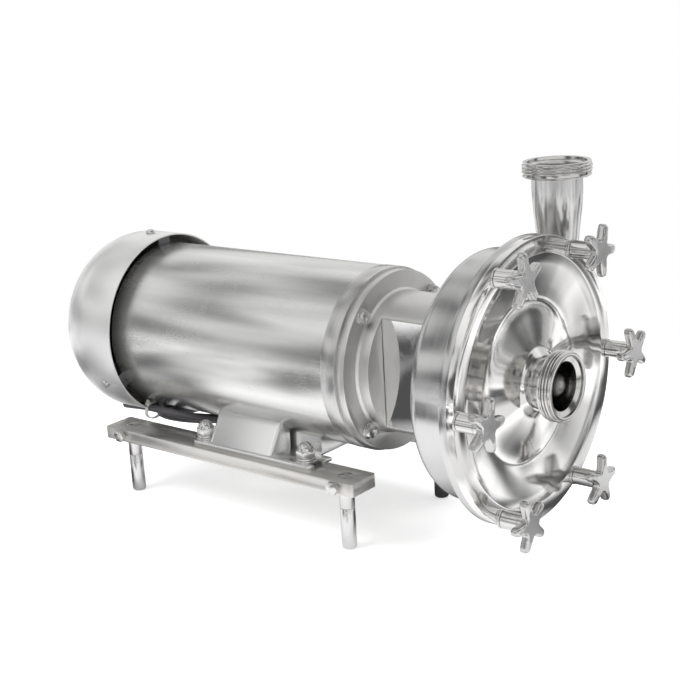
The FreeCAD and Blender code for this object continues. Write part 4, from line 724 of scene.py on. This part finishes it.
# In the CAD piece: where its cone starts and how tall it is, and the radius that parts its outer skin
# from its bore, at the cone's foot and how much more at its top
CONE_LOW, CONE_TALL = 115, 40
SKIN_RADIUS, SKIN_OPENS = 18.7, 6.2
neck = merged_copy("outlet_neck", "drawn_neck")
cells = bmesh.new()
cells.from_mesh(neck.data)
for level in NECK_CUTS:
    everything = cells.verts[:] + cells.edges[:] + cells.faces[:]
    bmesh.ops.bisect_plane(cells, geom=everything, dist=0.01 * MM,
                           plane_co=place(0, 0, level), plane_no=(0, 0, 1))
for vertex in cells.verts:
    height = (vertex.co.z - OUTLET_AXIS.z) / MM
    flat = Vector((vertex.co.x - OUTLET_AXIS.x, vertex.co.y - OUTLET_AXIS.y, 0))
    opening = min(max((height - CONE_LOW) / CONE_TALL, 0), 1)
    if height < NECK_LOW or flat.length < (SKIN_RADIUS + SKIN_OPENS * opening) * MM:
        continue
    eased = min(max((height - NECK_LOW) / (NECK_HIGH - NECK_LOW), 0), 1)
    wanted = NECK_NARROW + (TUBE_RADIUS - NECK_NARROW) * eased * eased * (3 - 2 * eased)
    vertex.co += flat.normalized() * (wanted * MM - flat.length)
cells.to_mesh(neck.data)
cells.free()
finish_piece(neck, "frame", "satin_steel", ["outlet_neck"], angle=40)
# Tube, belt polished along its length, with painted reflections: soft dark and bright streaks that run
# up the neck
neck.data.materials[0] = bare("belt_polished_neck", "#d6d5d4", 0.19, 0.02, grain=(500, 500, 14),
                              bump=0.003, bands=((26, 26, 1.5), 0.72, 1.0), cloudy=0.06)
print(neck.name, "faces", len(neck.data.polygons))

# %% [markdown]
# The feet are pressed from sheet, so their upright corners are wide rounds. Those edges are picked
# one by one: the upright ones on the outside. The level feet and the knobs' washers are turned
# and only lose their sharp edges.

# %% Pressed feet, level feet and washers
# An edge counts as upright from this height, and as outside from this far across
UPRIGHT = 8.0
FOOT_OUTSIDE = 89.0
FOOT_CORNER = 5.5
for side in ("near", "far"):
    foot = merged_copy("motor_foot_" + side, "pressed_foot_" + side)
    bpy.ops.object.mode_set(mode="EDIT")
    bpy.ops.mesh.select_mode(type="EDGE")
    bpy.ops.mesh.select_all(action="DESELECT")
    bpy.ops.object.mode_set(mode="OBJECT")
    for edge in foot.data.edges:
        ends = [foot.data.vertices[number].co for number in edge.vertices]
        upright = abs(ends[0].z - ends[1].z) > UPRIGHT * MM
        outside = max(abs(end.y) for end in ends) > FOOT_OUTSIDE * MM
        edge.select = upright and outside
    bpy.ops.object.mode_set(mode="EDIT")
    bpy.ops.mesh.bevel(offset=FOOT_CORNER * MM, segments=6, affect="EDGES")
    bpy.ops.object.mode_set(mode="OBJECT")
    round_edges(foot, 0.5, 38)
    finish_piece(foot, "frame", "foot_sheet", ["motor_foot_" + side], angle=38)
    print(foot.name, "faces", len(foot.data.polygons))
for number in range(1, 5):
    rounded("level_foot_%d" % number, 0.4, body="foot_%d" % number)
for number in range(1, 7):
    rounded("knob_washer_%d" % number, 0.4, body="washer_%d" % number)

# %% [markdown]
# The star knobs are investment castings: arms like blunt petals that swell from a round boss, with
# no flat or sharp place for dirt. Remeshing a copy into small even cells and smoothing it gives that
# cast softness. The boss below is turned, so it keeps its crisp ring.

# %% Star knobs
KNOB_CIRCLE = 136.3
KNOB_ANGLES = (30, 330, 270, 210, 150, 90)
# The size of a remeshed cell, how far the skin swells to make up for smoothing, and its passes
CAST_CELL = 0.65
CAST_SWELL = 0.9
CAST_PASSES = 24
# A cast knob stays behind its nose and inside the CAD model's box
KNOB_NOSE = 34.45
WIDEST = cad_box[1][1] - 0.05 * MM
STEM = [(2.4, 5.0), (2.4, 8.3), (3.0, 8.9), (20.4, 8.9), (20.8, 8.4), (21.4, 8.4), (21.8, 8.9),
        (28.6, 8.9), (29.0, 8.5), (29.0, 5.0)]
# Turned from bar: a bright stem with rings
stem_finish = bare("turned_knob_stem", "#d6d5d4", 0.13, 0.03, grain=(1200, 30, 30), bump=0.02,
                   cloudy=0.06)
for number in range(1, 7):
    node = "knob_%d" % number
    knob = merged_copy(node, "cast_" + node)
    apply_modifier(knob, "REMESH", mode="VOXEL", voxel_size=CAST_CELL * MM)
    apply_modifier(knob, "DISPLACE", strength=CAST_SWELL * MM, mid_level=0.0)
    apply_modifier(knob, "SMOOTH", factor=0.5, iterations=CAST_PASSES)
    for vertex in knob.data.vertices:
        vertex.co.x = min(vertex.co.x, (COVER_FACE + KNOB_NOSE) * MM)
        vertex.co.y = min(max(vertex.co.y, -WIDEST), WIDEST)
    finish_piece(knob, "star_knob_%d" % number, "cast_knob", [node], angle=60)
    turn = math.radians(KNOB_ANGLES[number - 1])
    centre = place(0, KNOB_CIRCLE * math.sin(turn), KNOB_CIRCLE * math.cos(turn))
    stem = lathe("turned_stem_%d" % number, STEM, centre, "X", around=64)
    finish_piece(stem, "star_knob_%d" % number, "cast_knob", angle=30)
    stem.data.materials[0] = stem_finish
    print(knob.name, "faces", len(knob.data.polygons))

# %% [markdown]
# The cover is a round blank pressed and spun over a form, then polished. It has a flat ring for the
# knobs, a straight slope in to a rounded trough, and a long cone out to the inlet. Its section is a
# line of stations that lie close together on its rounds, and it is turned on the lathe in many steps
# about the shaft, so that the mirror finish shows no facet.

# %% Polished cover
def between(first, last, count):
    """Stations on a straight slope between two, without its ends."""
    made = []
    for step in range(1, count):
        along = first[0] + (last[0] - first[0]) * step / count
        radius = first[1] + (last[1] - first[1]) * step / count
        made.append((along, radius))
    return made


front_face = [(-8.2, 143.0), (-0.8, 143.0), (-0.25, 142.75), (0.0, 142.2)]
land = [(0.0, 134.0), (0.0, 126.2), (-0.15, 125.3), (-0.6, 124.4)]
outer_slope = between((-0.6, 124.4), (-9.2, 86.6), 4)
trough = [(-9.2, 86.6), (-9.8, 84.4), (-10.15, 82.4), (-10.2, 80.2), (-10.0, 77.2), (-9.5, 73.8),
          (-8.7, 70.0), (-7.6, 65.6), (-6.3, 60.8)]
inner_cone = between((-6.3, 60.8), (-0.4, 38.6), 4)
lip = [(-0.4, 38.6), (0.1, 36.4), (0.6, 34.6), (1.3, 33.2), (2.4, 31.6), (4.2, 29.4), (5.4, 27.4),
       (5.8, 25.7)]
back_face = [(-3.6, 25.7), (-4.6, 36.0), (-13.2, 79.0), (-13.2, 84.5), (-3.6, 118.5), (-11.5, 118.5),
             (-11.5, 123.6), (-8.2, 123.6)]
section = front_face + land + outer_slope + trough + inner_cone + lip + back_face
cover = lathe("polished_cover", section, ON_SHAFT, "X", around=256)
finish_piece(cover, "frame", "polished_steel", ["cover"], angle=32)
print(cover.name, "faces", len(cover.data.polygons))

# %% [markdown]
# The cable is one length of rubber-sheathed lead. It leaves the gland on the far side, bends down
# under its own weight, lies over the hank under the motor, runs round it and ends in a bare tail
# that rests beside the near rail. A NURBS line through a few points per bend gives a smooth cable.

# %% Cable
CABLE_RADIUS = 4.5
# The middle of the hank along the shaft, and how far it is turned as seen from above
COIL_ALONG = -440.0
COIL_SKEW = math.radians(-25.0)
# The height at which it rests on the rails, how much lower its middle hangs, and on what curve
BED = -98.9
MIDDLE_SAG = 3.9
SAG_RADIUS = 514.0
# The motor above it, and the gap that the cable keeps under it
SHELL_RADIUS = 98.7
SHELL_GAP = 0.6


def hank_point(angle, half_long, half_wide, lift, pulled):
    """A point of an oval turn of the hank, resting on the rails' inner edges and sagging between."""
    across = half_long * math.cos(angle) * (1 + 0.35 * math.sin(angle) ** 2)
    out = half_wide * math.sin(angle)
    along = COIL_ALONG + across * math.cos(COIL_SKEW) - out * math.sin(COIL_SKEW)
    along -= pulled * min(math.sin(angle), 0) ** 2
    side = across * math.sin(COIL_SKEW) + out * math.cos(COIL_SKEW)
    low = BED - MIDDLE_SAG + side * side / (2 * SAG_RADIUS)
    under_shell = -math.sqrt(SHELL_RADIUS ** 2 - side ** 2) - CABLE_RADIUS - SHELL_GAP
    return place(along, side, max(low, min(low + lift, under_shell)))


route = [
    place(-482, 118, -12), place(-512, 118, -12), place(-544, 114, -34), place(-550, 106, -68),
    place(-530, 95, -87.5), place(-500, 82, -87.8), place(-468, 71, -88.6), place(-438, 60.5, -88.6),
    place(-410, 50.5, -91.5),
]
# The turns of the hank: degrees at the first and last point, and the number of points
FIRST, LAST, STEPS = 52.0, 880.0, 34
# Half the size of the first turn each way, and how much a turn adds
HALF_LONG, LONGER = 20.5, 9.4
HALF_WIDE, WIDER = 47.0, 7.2
# For each turn: how high its ends ride on the one below, and how far its near end is pulled back
LIFTS = (6.5, 4.0, 13.0)
PULLS = (0.0, 16.0, 16.0)
for step in range(STEPS):
    passed = FIRST + (LAST - FIRST) * step / (STEPS - 1)
    angle = math.radians(90 - passed)
    visit = int(passed / 180 + 0.5) // 2
    lift = LIFTS[visit] * abs(math.sin(angle))
    wobble = 0.4 * math.sin(step * 1.7)
    grow = passed / 360
    route.append(hank_point(angle, HALF_LONG + LONGER * grow + wobble, HALF_WIDE + WIDER * grow,
                            lift, PULLS[visit]))
route += [
    place(-498, -53.0, -91.0), place(-516, -50, -93.0), place(-533, -47, -95.6),
    place(-549, -44.5, -97.6),
]
cable_line = bpy.data.curves.new("power_cable", "CURVE")
cable_line.dimensions = "3D"
cable_line.bevel_depth = CABLE_RADIUS * MM
cable_line.bevel_resolution = 5
cable_line.use_fill_caps = True
cable_line.resolution_u = 8
spline = cable_line.splines.new("NURBS")
spline.points.add(len(route) - 1)
for point, at in zip(spline.points, route):
    point.co = (*at, 1.0)
spline.order_u = 3
spline.use_endpoint_u = True
cable = bpy.data.objects.new("power_cable", cable_line)
scene.collection.objects.link(cable)
cable_line.materials.append(finishes["cable_sheath"])
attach(cable, "frame")
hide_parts("cable_lead", "cable_coil")
measured = sum((b - a).length for a, b in zip(route, route[1:]))
print("cable points", len(route), "length along them", round(measured, 3))

# %% [markdown]
# A nylon strap holds the tail to the hank. It is a thin flat band closed through its small head,
# with the cut end standing out. At the gland a ribbed rubber boot keeps the lead from kinking.

# %% Strap and boot
strap_at = place(-496, -47.5, -95.4)
band_section = [(-2.0, 9.3), (2.0, 9.3), (2.0, 10.3), (-2.0, 10.3)]
band = lathe("hank_strap", band_section, strap_at, "X", around=64)
bpy.ops.object.mode_set(mode="EDIT")
bpy.ops.mesh.select_all(action="SELECT")
bpy.ops.transform.resize(value=(1, 1.36, 1), center_override=strap_at)
bpy.ops.object.mode_set(mode="OBJECT")
bpy.ops.object.select_all(action="DESELECT")
bpy.ops.mesh.primitive_cube_add(size=1, location=strap_at + Vector((0, -9, 9.6)) * MM)
head = bpy.context.object
head.scale = (6.4 * MM, 5.6 * MM, 4.2 * MM)
bpy.ops.object.transform_apply(location=True, rotation=True, scale=True)
bpy.ops.object.mode_set(mode="EDIT")
bpy.ops.mesh.select_all(action="DESELECT")
bpy.ops.object.mode_set(mode="OBJECT")
for face in head.data.polygons:
    face.select = face.normal.z > 0.9
bpy.ops.object.mode_set(mode="EDIT")
bpy.ops.mesh.select_mode(type="FACE")
bpy.ops.mesh.inset(thickness=1.2 * MM)
bpy.ops.mesh.extrude_region_move(TRANSFORM_OT_translate={"value": (0, 0, 3.4 * MM)})
bpy.ops.transform.resize(value=(1.0, 0.5, 1.0))
bpy.ops.object.mode_set(mode="OBJECT")
round_edges(head, 0.5, 40)
strap = finish_piece(join([band, head], "hank_strap"), "frame", "tie_nylon", ["cable_tie"])
print(strap.name, "faces", len(strap.data.polygons))

# Each rib of the boot is a ridge and a groove, and thinner than the one before
RIBS = 5
RIB_STEP = 5.2
RIB_TAPER = 0.62
boot_stations = [(-482.0, 4.7), (-482.0, 9.0)]
for rib in range(RIBS):
    back = -484.5 - rib * RIB_STEP
    wide = 8.6 - rib * RIB_TAPER
    boot_stations += [
        (back, wide), (back - 0.6, wide - 1.2), (back - 2.0, wide - 1.3), (back - 2.6, wide - 0.2)]
boot_stations += [(-511.0, 5.6), (-512.0, 4.7)]
boot = lathe("cable_boot", boot_stations, place(0, 118, -12), "X", around=48)
finish_piece(boot, "frame", "cable_sheath")
print(boot.name, "faces", len(boot.data.polygons))
